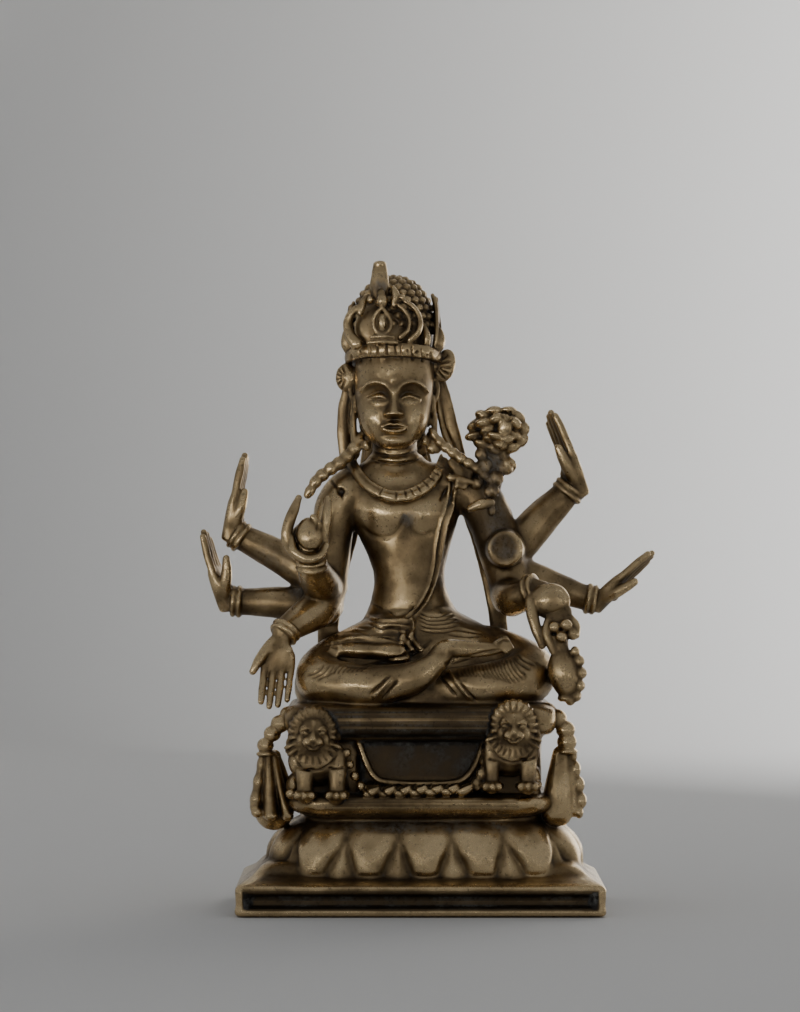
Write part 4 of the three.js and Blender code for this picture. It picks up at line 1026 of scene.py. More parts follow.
def makeBracelet(place, along, radius):
    """Two rolls side by side round the wrist, on a low sleeve that closes the gap."""
    d = unit(along)
    side = unit(np.cross(d, [0.3, 1.0, 0.2]))
    other = np.cross(d, side)
    angles = np.linspace(0, 2 * math.pi, 33)
    around = np.cos(angles)[:, None] * side + np.sin(angles)[:, None] * other
    shells = []
    for shift, r in ((-0.95, 0.85), (0.85, 0.75)):
        ring = np.asarray(place) + d * shift + radius * around
        shells.append(carried([[*p, r] for p in ring], across=tuple(d), around=12, spacing=0.35, ends=0.2))
    ends = [np.asarray(place) - 1.6 * d, np.asarray(place) + 1.5 * d]
    shells.append(carried([[*ends[0], radius], [*place, radius + 0.1], [*ends[1], radius]], around=32, ends=0.1))
    return shells


arms = {
    "right": [
        [-14, 2.6, 125.6, 7.6, 6.6],
        [-20.6, 2.4, 124.6, 7.2, 7.0],
        [-25.0, 2.2, 119.6, 6.6, 7.0],
        [-26.4, 2.4, 111, 6.1, 6.6],
        [-27.4, 2.6, 102, 6.1, 6.4],
        [-28.6, 2.6, 94, 6.2, 6.2],
        [-29.0, 1.4, 89.6, 5.6, 5.6],
    ],
    "left": [
        [4, 2.6, 126.4, 7.6, 6.6],
        [11.6, 2.4, 126.0, 7.3, 7.0],
        [18.0, 2.2, 122.0, 7.0, 7.2],
        [21.8, 2.4, 114.6, 6.8, 6.9],
        [24.4, 2.6, 106.6, 6.8, 6.6],
        [26.6, 2.4, 99, 6.4, 6.4],
        [27.2, 1.6, 93.4, 5.8, 5.8],
    ],
    "givingForearm": [[-28.6, 2, 92.4, 5.8], [-31.4, -3.4, 89.0, 5.7], [-35.4, -8.2, 86.4, 4.9], [-39.8, -12.6, 83.4, 4.0]],
    "fruitForearm": [[-28.8, 0, 96, 5.8], [-30.0, -6, 97.6, 5.6], [-31.4, -12.4, 100.6, 4.9], [-32.2, -16.4, 103.6, 4.2]],
    "upperRight": [[-27.6, 4, 96.6, 6], [-34, 5.4, 100.4, 5.7], [-42, 6, 105.0, 5.1], [-49, 6, 108.6, 4.4], [-54.4, 6, 111.4, 3.9]],
    "middleRight": [[-28.6, 4, 90.4, 5.8], [-35, 5.6, 90.6, 5.4], [-43, 6, 91.2, 4.8], [-50, 6, 91.4, 4.2], [-55, 6, 91.6, 3.9]],
    "stump": [[25.4, 2, 107.6, 6.2], [25.4, -4, 107.6, 5.9], [25.4, -10.6, 107.6, 5.3]],
    "vaseForearm": [[26.8, 2, 94.0, 5.9], [27.4, -5.0, 92.8, 5.6], [29.6, -11.0, 93.4, 4.9], [33.2, -15.4, 95.0, 4.2]],
    "upperLeft": [[24.6, 4, 104.6, 6.2], [30, 5.4, 109.4, 6.0], [37, 6, 117.0, 5.3], [41.6, 6, 121.6, 4.6], [44.4, 6, 124.8, 4.1]],
    "middleLeft": [[26.6, 4, 100.4, 6], [33, 5.4, 98.6, 5.3], [41, 6, 95.8, 4.6], [47, 6, 93.6, 4.0], [51.4, 6, 92.2, 3.7]],
}


def makeArms():
    """The two upper arms, the six forearms and the stump of the broken one."""
    shells = []
    for name, stops in arms.items():
        upper = name in ("right", "left")
        flat = 0.1 if name == "stump" else 1.0
        shells.append(carried(stops, around=40 if upper else 32, spacing=0.5, ends=flat))
    return shells


def makeHands():
    """Bracelets, hands and what they hold."""
    shells = makeBracelet((-40.2, -13.2, 82.8), (-0.5, -0.45, -0.7), 3.9)
    shells += makeHand((-41.4, -14.6, 80.8), (-0.1, -0.16, -1), (-0.05, -1, 0.1), 1, size=1.02, pitch=2.6, curl=0.05, fan=-0.01, thumbOut=0.75, long=11.6)
    # right hand raised with the round fruit: palm, cup of curled fingers, two fingers upright
    shells += makeBracelet((-32.2, -16.6, 103.0), (-0.05, -0.35, 1), 4.0)
    shells += [
        ovoid((-33.2, -18.4, 109.6), (5.6, 3.0, 6.4)),
        ovoid((-32.8, -21.2, 111.4), (4.1, 3.6, 5.6)),
        carried([[-31.8, -17.4, 104.4, 3.2], [-32.6, -18.2, 107.6, 4.6, 3.2]], around=24),
        carried([[-36.6, -19.6, 105.6, 1.5], [-39.2, -21.0, 109.4, 1.75], [-39.2, -21.4, 114.0, 1.7], [-37.6, -21.2, 118.4, 1.6], [-35.9, -20.8, 122.6, 1.1]], across=(0, 1, 0), around=16, spacing=0.35),
        carried([[-28.6, -20.0, 108.6, 1.5], [-28.2, -21.2, 113.4, 1.6], [-27.6, -21.2, 118.0, 1.5], [-27.2, -20.8, 122.4, 1.05]], across=(0, 1, 0), around=16, spacing=0.35),
        carried([[-38.2, -22.0, 111.0, 1.0], [-37.2, -23.4, 106.8, 1.25], [-33.4, -24.0, 104.6, 1.35], [-29.6, -23.2, 105.6, 1.25], [-27.8, -21.6, 108.8, 1.0]], across=(0, 1, 0), around=14, spacing=0.35),
        carried([[-30.4, -20.6, 112.0, 1.2], [-30.2, -23.0, 114.8, 1.2], [-31.6, -23.6, 117.0, 1.0]], around=12, spacing=0.35),
    ]
    # right hands held out behind
    shells += makeBracelet((-54.6, 6, 111.4), (-0.8, 0, 0.55), 4.1)
    shells += makeHand((-56.6, 5.6, 113.4), (0.16, 0, 1), (1, -0.22, -0.1), -1, size=1.12, pitch=1.95, curl=0.02, fan=-0.03, thumbOut=0.0, thumbIn=0.25, long=11.4)
    shells += makeBracelet((-55.4, 6, 91.6), (-1, 0, 0.05), 4.0)
    shells += makeHand((-58.8, 5.4, 92.4), (-0.34, 0, 1), (0.94, -0.3, 0.32), -1, size=1.08, pitch=1.95, curl=0.03, fan=-0.03, thumbOut=0.0, thumbIn=1.25, long=10.8)
    # left hand turned down from the wrist, its thumb hanging, its fingers closed on the vase's neck
    shells += makeBracelet((33.2, -15.6, 95.4), (0.85, -0.45, 0.25), 4.2)
    shells += [
        ovoid((38.2, -19.4, 92.2), (6.2, 3.2, 5.3)),
        ovoid((38.6, -21.2, 92.4), (4.6, 2.2, 3.9)),
        carried([[34.0, -16.2, 95.0, 4.0, 3.4], [36.6, -18.4, 93.6, 4.6, 3.2]], across=(1, 0, 0.4), around=28, spacing=0.4),
        carried([[40.6, -19.6, 88.8, 4.2, 2.6], [41.6, -21.2, 84.6, 3.6, 2.6], [41.4, -21.6, 82.0, 2.8, 2.2]], across=(1, 0, 0), around=28, spacing=0.4),
        carried([[33.6, -17.6, 95.4, 1.8], [32.9, -19.6, 92.0, 1.95], [33.2, -21.0, 88.0, 1.85], [34.4, -22.0, 83.4, 1.6], [36.0, -22.4, 79.2, 1.15]], across=(0, 1, 0), around=18, spacing=0.35),
        carried([[38.4, -21.0, 87.0, 1.5], [37.4, -22.8, 84.0, 1.55], [37.8, -23.6, 80.8, 1.45], [39.2, -23.6, 77.6, 1.15]], around=16, spacing=0.35),
        ovoid((39.4, -24.0, 84.6), (1.9, 1.9, 1.7), turn=(0, 20, 0)),
        ovoid((43.0, -24.0, 85.2), (1.9, 2.0, 1.8)),
        ovoid((44.9, -23.2, 82.6), (1.7, 1.9, 1.9)),
        ovoid((41.6, -24.6, 81.8), (1.8, 1.9, 1.7)),
        carried([[44.2, -20.6, 87.0, 1.4], [45.9, -22.0, 85.0, 1.4], [45.9, -22.6, 82.4, 1.3]], around=14, spacing=0.35),
    ]
    # left hands held out behind
    shells += makeBracelet((44.8, 6, 125.0), (0.6, 0, 0.8), 4.3)
    shells += makeHand((47.2, 5.6, 126.8), (-0.34, 0, 1), (-0.92, -0.42, -0.25), 1, size=1.18, pitch=2.0, curl=0.03, fan=-0.02, thumbOut=0.1, thumbIn=0.5, long=10.8)
    shells += makeBracelet((51.6, 6, 92.2), (1, 0, -0.2), 3.9)
    shells += makeHand((54.6, 5.6, 92.0), (0.8, 0, 0.76), (0.66, -0.36, -0.7), -1, size=1.06, pitch=1.95, curl=0.02, fan=-0.03, thumbOut=0.0, thumbIn=0.75, long=11.0)
    return shells


def makeVase():
    """The vase hung by its neck: a turned body with foot and lip, a stay behind, and a string of
    foliage down its outer side."""
    x, y = 42.2, -22.4
    profile = [(62.6, 2.2), (63.4, 2.9), (64.6, 2.3), (66.2, 3.4), (69.6, 4.5), (73.0, 4.4), (75.6, 3.5), (77.4, 2.6), (79.6, 2.4), (82, 2.8)]
    shells = [
        stacked([[z, r, r, x - 0.12 * (z - 72), y] for z, r in profile], around=60, spacing=0.4),
        carried([[x - 1, y + 2, 70, 2.4], [x - 5, y + 6, 70, 2.4]], spacing=0.5),
    ]
    for px, z, r in ((46.0, 64.2, 1.6), (46.9, 67.4, 1.7), (47.2, 71.0, 1.8), (46.6, 74.6, 1.7), (45.6, 77.4, 1.4), (44.2, 63.0, 1.5)):
        shells.append(ovoid((px, y - 0.8, z), (r, r, r * 1.1), shape=lambda angle, height: 1 + 0.12 * np.cos(5 * angle)))
    return shells


flower = {  # petals as [x, y, z, half length, half thickness, lean in degrees]
    "petals": [
        (17.0, -2.6, 144.8, 3.4, 1.7, -28),
        (16.4, -2.2, 141.4, 3.2, 1.6, -14),
        (18.6, -3.2, 138.8, 3.0, 1.7, 18),
        (19.0, -3.0, 147.2, 2.8, 1.7, 24),
        (22.2, -2.6, 148.6, 2.8, 1.7, -4),
        (26.6, -2.6, 148.6, 2.6, 1.7, 6),
        (29.4, -2.6, 146.8, 2.4, 1.9, 34),
        (30.8, -2.4, 143.6, 2.3, 2.1, 58),
        (30.4, -2.6, 140.0, 2.4, 2.0, -50),
        (27.4, -3.2, 137.8, 2.8, 1.8, -18),
        (22.6, -3.8, 137.4, 3.0, 1.7, 4),
        (20.4, -4.8, 143.0, 2.9, 1.5, -22),
        (21.2, -4.8, 140.2, 2.8, 1.4, 10),
        (28.2, -4.4, 141.6, 2.4, 1.6, 26),
        (19.0, -5.6, 145.2, 2.9, 1.6, -12),
        (22.6, -6.4, 146.4, 2.4, 1.6, -30),
        (28.4, -5.4, 145.2, 2.5, 1.6, 48),
        (22.4, -6.2, 141.2, 2.7, 1.5, 14),
        (26.0, -6.0, 140.2, 2.5, 1.5, -20),
        (24.0, -5.4, 138.4, 2.4, 1.4, 4),
    ],
    "lumps": [
        (25.6, -1.6, 132.4, 3.1),
        (22.2, -3.4, 128.4, 2.7),
        (19.0, -3.8, 132.2, 2.6),
        (18.4, -3.2, 135.8, 2.2),
        (24.2, -2.2, 135.8, 2.6),
        (16.6, -4.0, 127.0, 2.2),
        (21.2, -3.6, 124.8, 2.4),
        (15.4, -3.8, 131.2, 1.9),
    ],
}


def makeFlower():
    """The open lotus on its knotted stalk: drooping petals round a pleated heart."""
    shells = [
        carried([[19.6, 1.6, 122, 4.2], [20.4, 0.6, 128, 4.4], [22.0, 0.2, 134, 4.2], [23.2, 0, 139, 4.6]], spacing=0.5, around=24),
        ovoid((23.4, -0.4, 142.6), (7.2, 4.6, 5.6)),
        ovoid((25.2, -6.4, 144.2), (2.3, 2.2, 3.7)),
    ]
    for x, y, z, half, r, lean in flower["petals"]:
        shells.append(ovoid((x, y, z), (half, 2.4, r), turn=(0, lean, 0)))
        shells.append(ovoid((x - 0.3, y - 1.5, z + 0.4), (half * 0.8, 1.1, r * 0.5), turn=(0, lean, 0)))
    for x, y, z, r in flower["lumps"]:
        shells.append(ovoid((x, y, z), (r, r, r * 0.95), shape=lambda angle, height: 1 + 0.14 * np.cos(5 * angle + 3 * height)))
    # the armlet's end, broken off short
    shells.append(carried([[15.0, -5.6, 119.6, 1.2, 1.2], [18.0, -6.8, 120.8, 1.7, 1.3], [21.4, -5.8, 121.2, 1.3, 1.0]], across=(0, 0, 1), around=14, spacing=0.4))
    shells.append(ovoid((21.4, -5.2, 119.0), (1.2, 1.2, 1.6)))
    return shells


def makeScarves():
    """Flat scarf ends that fall behind the arms to the seat."""
    return [
        carried([[-20, 7.8, 121, 4.2, 1.5], [-23.6, 8.2, 108, 4.0, 1.4], [-26.0, 8.0, 96, 3.6, 1.4], [-27.6, 7.2, 84, 3.2, 1.4], [-28.0, 5.0, 75, 2.8, 1.6]], around=28, power=2.6),
        carried([[16, 7.8, 121, 4.2, 1.5], [19.4, 8.2, 110, 3.8, 1.4], [21.8, 8.0, 98, 3.2, 1.3], [23.6, 7.2, 86, 2.8, 1.3], [24.4, 5.0, 76, 2.6, 1.5]], around=28, power=2.6),
    ]


# one skin

skin = {
    "coarse": 0.8 if rough else 0.42,  # voxel of the first, smoothed skin
    "fine": 0.7 if rough else 0.26,  # voxel of the second skin, which takes the small forms
    "triangles": 60000 if rough else 196000,
}


def meshFrom(name, verts, faces):
    """A mesh from arrays of vertices and triangles or quads, filled with foreach_set."""
    mesh = bpy.data.meshes.new(name)
    k = faces.shape[1]
    mesh.vertices.add(len(verts))
    mesh.vertices.foreach_set("co", np.ascontiguousarray(verts, np.float32).ravel())
    mesh.loops.add(faces.size)
    mesh.loops.foreach_set("vertex_index", np.ascontiguousarray(faces, np.int32).ravel())
    mesh.polygons.add(len(faces))
    mesh.polygons.foreach_set("loop_start", np.arange(0, faces.size, k, dtype=np.int32))
    mesh.polygons.foreach_set("loop_total", np.full(len(faces), k, np.int32))
    mesh.update(calc_edges=True)
    mesh.validate()
    return mesh


def gather(shells):
    """All shells in one pair of arrays."""
    verts, tris, base = [], [], 0
    for v, t in shells:
        verts.append(v)
        tris.append(t + base)
        base += len(v)
    return np.vstack(verts), np.vstack(tris)


def reskin(verts, faces, voxel):
    """The outer surface of the overlapping shells as one even skin of quads."""
    mesh = meshFrom("working", verts, faces)
    thing = bpy.data.objects.new("working", mesh)
    bpy.context.collection.objects.link(thing)
    change = thing.modifiers.new("skin", "REMESH")
    change.mode = "VOXEL"
    change.voxel_size = voxel
    change.adaptivity = 0
    graph = bpy.context.evaluated_depsgraph_get()
    done = bpy.data.meshes.new_from_object(thing.evaluated_get(graph))
    out = np.empty(len(done.vertices) * 3, np.float32)
    done.vertices.foreach_get("co", out)
    corner = np.empty(len(done.loops), np.int32)
    done.loops.foreach_get("vertex_index", corner)
    bpy.data.objects.remove(thing)
    bpy.data.meshes.remove(mesh)
    bpy.data.meshes.remove(done)
    return out.reshape(-1, 3).astype(float), corner.reshape(-1, 4)


def neighbours(faces, count):
    """Edges of the faces as two index arrays and each vertex's number of neighbours."""
    k = faces.shape[1]
    edges = np.vstack([faces[:, [i, (i + 1) % k]] for i in range(k)])
    edges = np.unique(np.sort(edges, axis=1), axis=0)
    a = np.concatenate([edges[:, 0], edges[:, 1]])
    b = np.concatenate([edges[:, 1], edges[:, 0]])
    return a, b, np.maximum(np.bincount(a, minlength=count), 1)


def averaged(values, links):
    """The mean of each vertex's neighbours."""
    a, b, number = links
    if values.ndim == 1:
        return np.bincount(a, values[b], len(number)) / number
    return np.column_stack([np.bincount(a, values[b, k], len(number)) for k in range(3)]) / number[:, None]


def skinNormals(verts, faces):
    """Vertex normals: the sum of the crosses of each face's diagonals or edges."""
    if faces.shape[1] == 4:
        n = np.cross(verts[faces[:, 2]] - verts[faces[:, 0]], verts[faces[:, 3]] - verts[faces[:, 1]])
    else:
        n = np.cross(verts[faces[:, 1]] - verts[faces[:, 0]], verts[faces[:, 2]] - verts[faces[:, 0]])
    out = np.zeros_like(verts)
    for k in range(3):
        total = np.zeros(len(verts))
        for i in range(faces.shape[1]):
            total += np.bincount(faces[:, i], n[:, k], len(verts))
        out[:, k] = total
    return unit(out)


def castSoft(verts, faces, rounds, fill):
    """Smooths the skin as casting does: every round moves all points a little towards their
    neighbours, and points in a crevice, where that move goes outwards, a good deal further."""
    links = neighbours(faces, len(verts))
    for k in range(rounds):
        move = averaged(verts, links) - verts
        normals = skinNormals(verts, faces) if k % 3 == 0 else normals
        outwards = np.einsum("ij,ij->i", move, normals) > 0
        verts = verts + move * np.where(outwards, 0.35 + fill, 0.35)[:, None]
    return verts


# lines and pits cut or raised on the side that the picture shows

picture = {"middle": (400, 506), "mmPerPixel": 0.3, "eye": (-6.0, -1400.0, 120.3)}

# every entry: half width in pixels, height in mm (negative is cut), lines through picture points
drawing = {
    "sash": (1.5, 1.0, [
        [(450, 481), (446, 502), (439.5, 524), (435, 547), (432, 569), (427, 588), (417, 607), (406, 617)],
        [(458, 478), (453, 502), (446.5, 524), (441.5, 547), (437, 569), (431, 591), (422, 609), (410, 620)],
    ]),
    "sashGroove": (1.1, -0.5, [
        [(454, 481), (449.5, 502), (443, 524), (438.5, 547), (434.5, 569), (429, 590), (419.5, 608), (408, 619)],
    ]),
    "belt": (1.5, 0.7, [
        [(366, 615), (376, 619.5), (390, 620.5), (409, 620)],
        [(369, 621), (379, 625.5), (391, 625.5), (408, 627)],
        [(372, 627), (381, 631.5), (392, 631), (407, 633)],
    ]),
    "beltGrooves": (1.0, -0.6, [
        [(366, 618), (376, 622.3), (390, 623.2), (409, 623.2)],
        [(369, 624), (380, 628.3), (391, 628), (407, 630)],
        [(388, 610), (393, 613.6), (399, 614.4), (409, 611.6), (417, 605)],
        [(366, 600), (373, 604), (382, 608.5)],
    ]),
    "knot": (2.0, 1.0, [[(412, 619), (413.5, 626), (412, 634), (408, 644)], [(404, 634), (401, 644), (404, 654)]]),
    "pleats": (1.0, -0.5, [
        [(420, 612), (428, 615.5), (440, 615.5), (451, 612)],
        [(420, 616), (429, 619.5), (441, 619.5), (454, 616)],
        [(420, 620), (430, 623.5), (443, 623.5), (457, 620)],
        [(420, 624.5), (431, 627.5), (445, 627.5), (459, 624.5)],
        [(420, 629), (430, 631.5), (444, 631.5), (457, 629)],
    ]),
    "torqueGrooves": (0.9, -0.7, [
        [(396, 499), (396.5, 491)], [(407, 498), (405, 490)], [(414.5, 496), (410.5, 488)],
        [(422, 492), (417, 484.5)], [(429, 486.5), (423, 480)], [(434.5, 480.5), (428.5, 475.5)],
        [(439, 474.5), (432.5, 470)], [(443, 467.5), (436, 464)], [(379, 495), (382.5, 487.5)],
    ]),
    "neckFolds": (1.1, -0.55, [
        [(371, 450), (383, 455.5), (400, 456), (413, 452), (423, 445)],
        [(369, 458), (384, 463.5), (402, 464), (418, 459), (430, 451)],
    ]),
    "chest": (2.4, -0.35, [
        [(361, 527), (374, 536), (388, 537), (398, 530), (404, 518)],
        [(404, 518), (412, 531), (424, 535), (434, 530)],
    ]),
    "armpitCuts": (1.3, -0.8, [
        [(336, 487), (340, 492), (343, 499)], [(447, 487), (441, 500)], [(330, 480), (336, 487)],
    ]),
    "jewelHandLines": (1.0, -0.5, [
        [(298, 520), (295, 536), (303, 549), (316, 550)], [(318, 519), (317, 530)], [(305, 516), (312, 513)],
    ]),
    "toes": (1.0, -0.6, [
        [(496, 640), (502, 636.5), (507, 636.5)], [(498, 643.5), (504, 640.5), (509, 641)],
        [(325, 644), (337, 648.5)], [(329, 640.5), (338, 643.5)],
    ]),
    "footHem": (1.2, 0.6, [
        [(345, 639), (362, 637.5), (381, 637), (394, 638)], [(449, 642), (470, 643), (492, 644)],
    ]),
    "shinEdges": (1.6, -0.7, [
        [(340, 664), (362, 666), (386, 661), (408, 655), (424, 647), (431, 641)],
        [(446, 664), (462, 659.5), (480, 654), (498, 649.5)],
    ]),
    "lapFolds": (1.0, -0.3, [
        [(448, 634), (462, 636), (478, 636)], [(452, 628), (468, 631), (486, 634)],
        [(340, 634), (352, 632), (366, 634)], [(345, 629), (356, 627.5), (368, 629)],
    ]),
    "hemRidges": (2.4, 0.9, [
        [(445, 668), (453, 677), (462, 688), (471, 699)],
        [(391, 679), (383, 687), (373, 697)],
    ]),
    "hemCuts": (1.2, -0.9, [
        [(440, 676), (447, 685), (455, 695)], [(462, 684), (468, 692), (476, 701)],
        [(389, 676.5), (381, 684), (370, 694)], [(397, 681), (390, 690), (383, 699)],
    ]),
    "lionLids": (1.1, 0.55, [
        [(299.5, 730), (304, 726.5), (309.5, 729.5)], [(318.5, 729.5), (323.5, 727), (328, 730)],
        [(499.5, 723), (504.5, 719.5), (509.5, 722.5)], [(518.5, 723.5), (524, 720.5), (528.5, 724)],
    ]),
    "lionCuts": (0.95, -0.7, [
        [(299.5, 732.2), (304.5, 730.2), (309.5, 732.6)], [(318.5, 732.4), (323.5, 731), (328, 732.6)],
        [(499.5, 725.5), (504.5, 723.4), (509.5, 726)], [(518.5, 726.4), (523.5, 724.4), (528.5, 726.6)],
        [(306, 745.5), (314, 748), (322, 745.5)], [(505, 738.5), (513, 741), (521, 738.5)],
        [(294, 757), (302, 768), (316, 771), (330, 764), (337, 754)],
        [(491, 748), (499, 758), (513, 763), (527, 758), (535, 748)],
        [(297, 768.5), (305, 770), (314, 769)], [(329, 768), (337, 769), (345, 767)],
        [(488, 759), (496, 761)], [(520, 759), (529, 759.5), (537, 757)],
    ]),
    "garlandCuts": (0.9, -0.7, [
        [(371 + 16.2 * k, 797 - 0.5 * k), (366 + 16.2 * k, 790 - 0.5 * k), (367 + 16.2 * k, 786 - 0.5 * k)] for k in range(6)
    ]),
    "kneeFolds": (1.2, -0.55, [
        [(306.7, 675.2), (314, 673), (320, 669), (323, 665.5)],
        [(311.4, 678.2), (321.6, 673.5), (329.5, 665.7)],
        [(318.2, 679.5), (325.9, 674.4), (334.2, 665.7)],
        [(325.5, 676.8), (332.6, 671.6), (338.2, 665.2)],
        [(513, 655.5), (520, 663), (530, 669.5)],
        [(517, 653.5), (525, 660), (534, 664.5)],
    ]),
}
fans = {  # families of thin cuts: count, upper line, lower line
    "leftThigh": (17, [(458, 669), (475, 664.5), (493, 661.5), (512, 657)], [(459, 676), (477, 677), (498, 679), (513, 683), (527, 677)]),
    "rightThigh": (7, [(339, 665.2), (352, 665.6), (368, 666)], [(334, 674), (346, 672), (361, 671)]),
}
fanStyle = {"halfWidth": 0.85, "cut": -0.42, "bow": 1.4}
rays = [  # cuts that spread from a point: x, y, near, far, first and last angle, count, half width, height
    (346.5, 376.5, 3.5, 17, 112, 250, 6, 1.0, -0.6),
    (434.0, 366.0, 4.0, 17, -52, 62, 6, 1.0, -0.6),
    (313.5, 733.0, 19.0, 27.0, -20, 200, 15, 0.9, -0.42),
    (513.5, 727.5, 18.5, 26.0, -18, 198, 14, 0.9, -0.42),
    (313.0, 735.0, 22.5, 29.5, 212, 328, 9, 0.9, -0.42),
    (513.0, 730.0, 20.0, 27.0, 208, 332, 10, 0.9, -0.42),
    (509.0, 424.0, 2.0, 13.0, 60, 130, 4, 0.9, -0.5),
]
spots = {  # round hollows (or knobs): x, y and radius in pixels, height in mm
    "armpitHole": [(340.8, 491.4, 3.0, -2.2)],
    "bandHoles": [(356.5, 357.5, 1.0, -0.7), (363.5, 354.5, 1.0, -0.7), (407.5, 350.6, 1.1, -0.8), (417, 352.2, 1.2, -0.9), (427.5, 355.5, 1.0, -0.7)],
    "stumpPits": [(498, 541, 1.6, -0.6), (507, 545, 1.8, -0.6), (501, 553, 1.7, -0.6), (510, 555, 1.5, -0.5), (495, 549, 1.4, -0.5), (505, 537, 1.4, -0.4)],
}
bandCuts = {  # upright cuts that part the band's blocks: x with the upper and lower end
    "places": [(351.5, 355, 364), (360, 351, 361), (369.5, 347.5, 359), (377.5, 346, 358), (386.5, 345, 357.5)]
    + [(395.5, 345, 357.5), (401.5, 345.5, 358), (412.5, 346.5, 359.5), (422, 348.5, 361), (431, 352, 364)],
}
roughPatches = [  # fields of small pits: middle, half sizes in pixels, strength
    (503.5, 548.5, 15, 15, 1.0), (409, 519, 9, 8.5, 0.8), (491, 470, 16, 26, 0.6), (496, 520, 14, 22, 0.55),
    (297, 590, 10, 12, 0.7), (330, 500, 12, 14, 0.3), (379, 286, 9, 6, 0.9), (390, 320, 44, 34, 0.25),
    (420, 827, 140, 7, 0.7), (420, 886, 160, 8, 0.5), (265, 860, 14, 24, 0.5), (272, 560, 24, 24, 0.35),
]


def seenInPicture(verts):
    """Where the camera sees each point, in pixels, and how far it lies behind the zero plane."""
    eye, scale = np.asarray(picture["eye"]), picture["mmPerPixel"]
    k = -eye[1] / (verts[:, 1] - eye[1]) / scale
    px = picture["middle"][0] + (verts[:, 0] - eye[0]) * k
    return px, picture["middle"][1] - (verts[:, 2] - eye[2]) * k, verts[:, 1]


def inSight(px, py, depth, normals):
    """1 where the surface faces the camera and nothing lies before it, by a grid of nearest depths."""
    cell = 1.3
    i, j = (px / cell).astype(int), (py / cell).astype(int)
    key = i * 100000 + j
    order = np.lexsort((depth, key))
    first = np.unique(key[order], return_index=True)
    nearest = np.empty(len(key))
    nearest[order] = np.repeat(depth[order][first[1]], np.diff(np.append(first[1], len(key))))
    return (depth < nearest + 1.6) * np.clip(-1.7 * normals[:, 1], 0, 1)


def stroke(px, py, line, half):
    """exp(-(distance/half width)^2) from a smooth line, thinning out at both its ends."""
    path = smoothCurve([[x, y, 0] for x, y in line], 1.0)[:, :2]
    low, high = path.min(0) - 3 * half, path.max(0) + 3 * half
    near = np.flatnonzero((px > low[0]) & (px < high[0]) & (py > low[1]) & (py < high[1]))
    best, along = np.full(len(near), 1e9), np.zeros(len(near))
    x, y = px[near], py[near]
    for k in range(len(path) - 1):
        a, d = path[k], path[k + 1] - path[k]
        t = np.clip(((x - a[0]) * d[0] + (y - a[1]) * d[1]) / (d @ d), 0, 1)
        away = np.hypot(x - a[0] - t * d[0], y - a[1] - t * d[1])
        along = np.where(away < best, (k + t) / (len(path) - 1), along)
        best = np.minimum(best, away)
    taper = np.clip(np.minimum(along, 1 - along) / 0.12, 0, 1) * 0.6 + 0.4
    return near, np.exp(-((best / half) ** 2)) * taper


def waveField(verts, pitch, seed):
    """A rough random field: sines along random directions, multiplied in threes and summed."""
    draw = np.random.default_rng(seed)
    total = np.zeros(len(verts))
    for _ in range(10):
        waves = unit(draw.normal(size=(3, 3))) * (2 * math.pi / (pitch * draw.uniform(0.7, 1.5)))
        total += np.prod(np.sin(verts @ waves.T + draw.uniform(0, 6.28, 3)), axis=1)
    return total / 1.1


def drawLines(verts, faces):
    """Adds up every stroke, cut and hollow and moves the points along their normals."""
    normals = skinNormals(verts, faces)
    px, py, depth = seenInPicture(verts)
    lift = np.zeros(len(verts))
    strokes = [(half, height, line) for half, height, lines in drawing.values() for line in lines]
    strokes += [(0.95, -0.75, [(x - 0.3, top), (x + 0.3, low)]) for x, top, low in bandCuts["places"]]
    for count, upper, lower in fans.values():
        tops = row(count, *smoothCurve([[*p, 0] for p in upper], 2)[:, :2])
        feet = row(count, *smoothCurve([[*p, 0] for p in lower], 2)[:, :2])
        for a, b in zip(tops, feet):
            middle = (a + b) / 2 + [-fanStyle["bow"], 0.4]
            strokes.append((fanStyle["halfWidth"], fanStyle["cut"], [a, middle, b]))
    for x, y, near, far, low, high, count, half, height in rays:
        for angle in np.radians(np.linspace(low, high, count)):
            way = np.array([math.cos(angle), -math.sin(angle)])
            ends = [np.array([x, y]) + way * near, np.array([x, y]) + way * far]
            strokes.append((half, height, [ends[0], (ends[0] + ends[1]) / 2, ends[1]]))
    for half, height, line in strokes:
        near, strength = stroke(px, py, line, half)
        lift[near] += height * strength
    for group in spots.values():
        for x, y, radius, height in group:
            lift += height * np.exp(-(((px - x) / radius) ** 2) - ((py - y) / radius) ** 2)
    return verts + normals * (np.clip(lift, -1.4, 1.6) * inSight(px, py, depth, normals))[:, None]


def roughness(verts, normals):
    """How rough the skin is at each point: 0.1 everywhere, up to 1 in the patches."""
    px, py, depth = seenInPicture(verts)
    rough = np.zeros(len(verts))
    for x, y, a, b, strength in roughPatches:
        rough += strength * np.exp(-((((px - x) / a) ** 2 + ((py - y) / b) ** 2) ** 2))
    return np.clip(rough * inSight(px, py, depth, normals) + 0.1, 0, 1)


def castSkin(verts, normals, rough):
    """The uneven skin of a worn casting: broad soft waves, and grain with pits where it is rough."""
    grain = waveField(verts, 1.7, 3) * 0.10 + np.minimum(waveField(verts, 1.3, 5), -0.35) * 0.24 + 0.08
    waves = waveField(verts, 8.0, 8) * 0.045 + waveField(verts, 3.4, 9) * 0.02
    return verts + normals * (waves + grain * np.clip(rough - 0.1, 0, 1))[:, None]


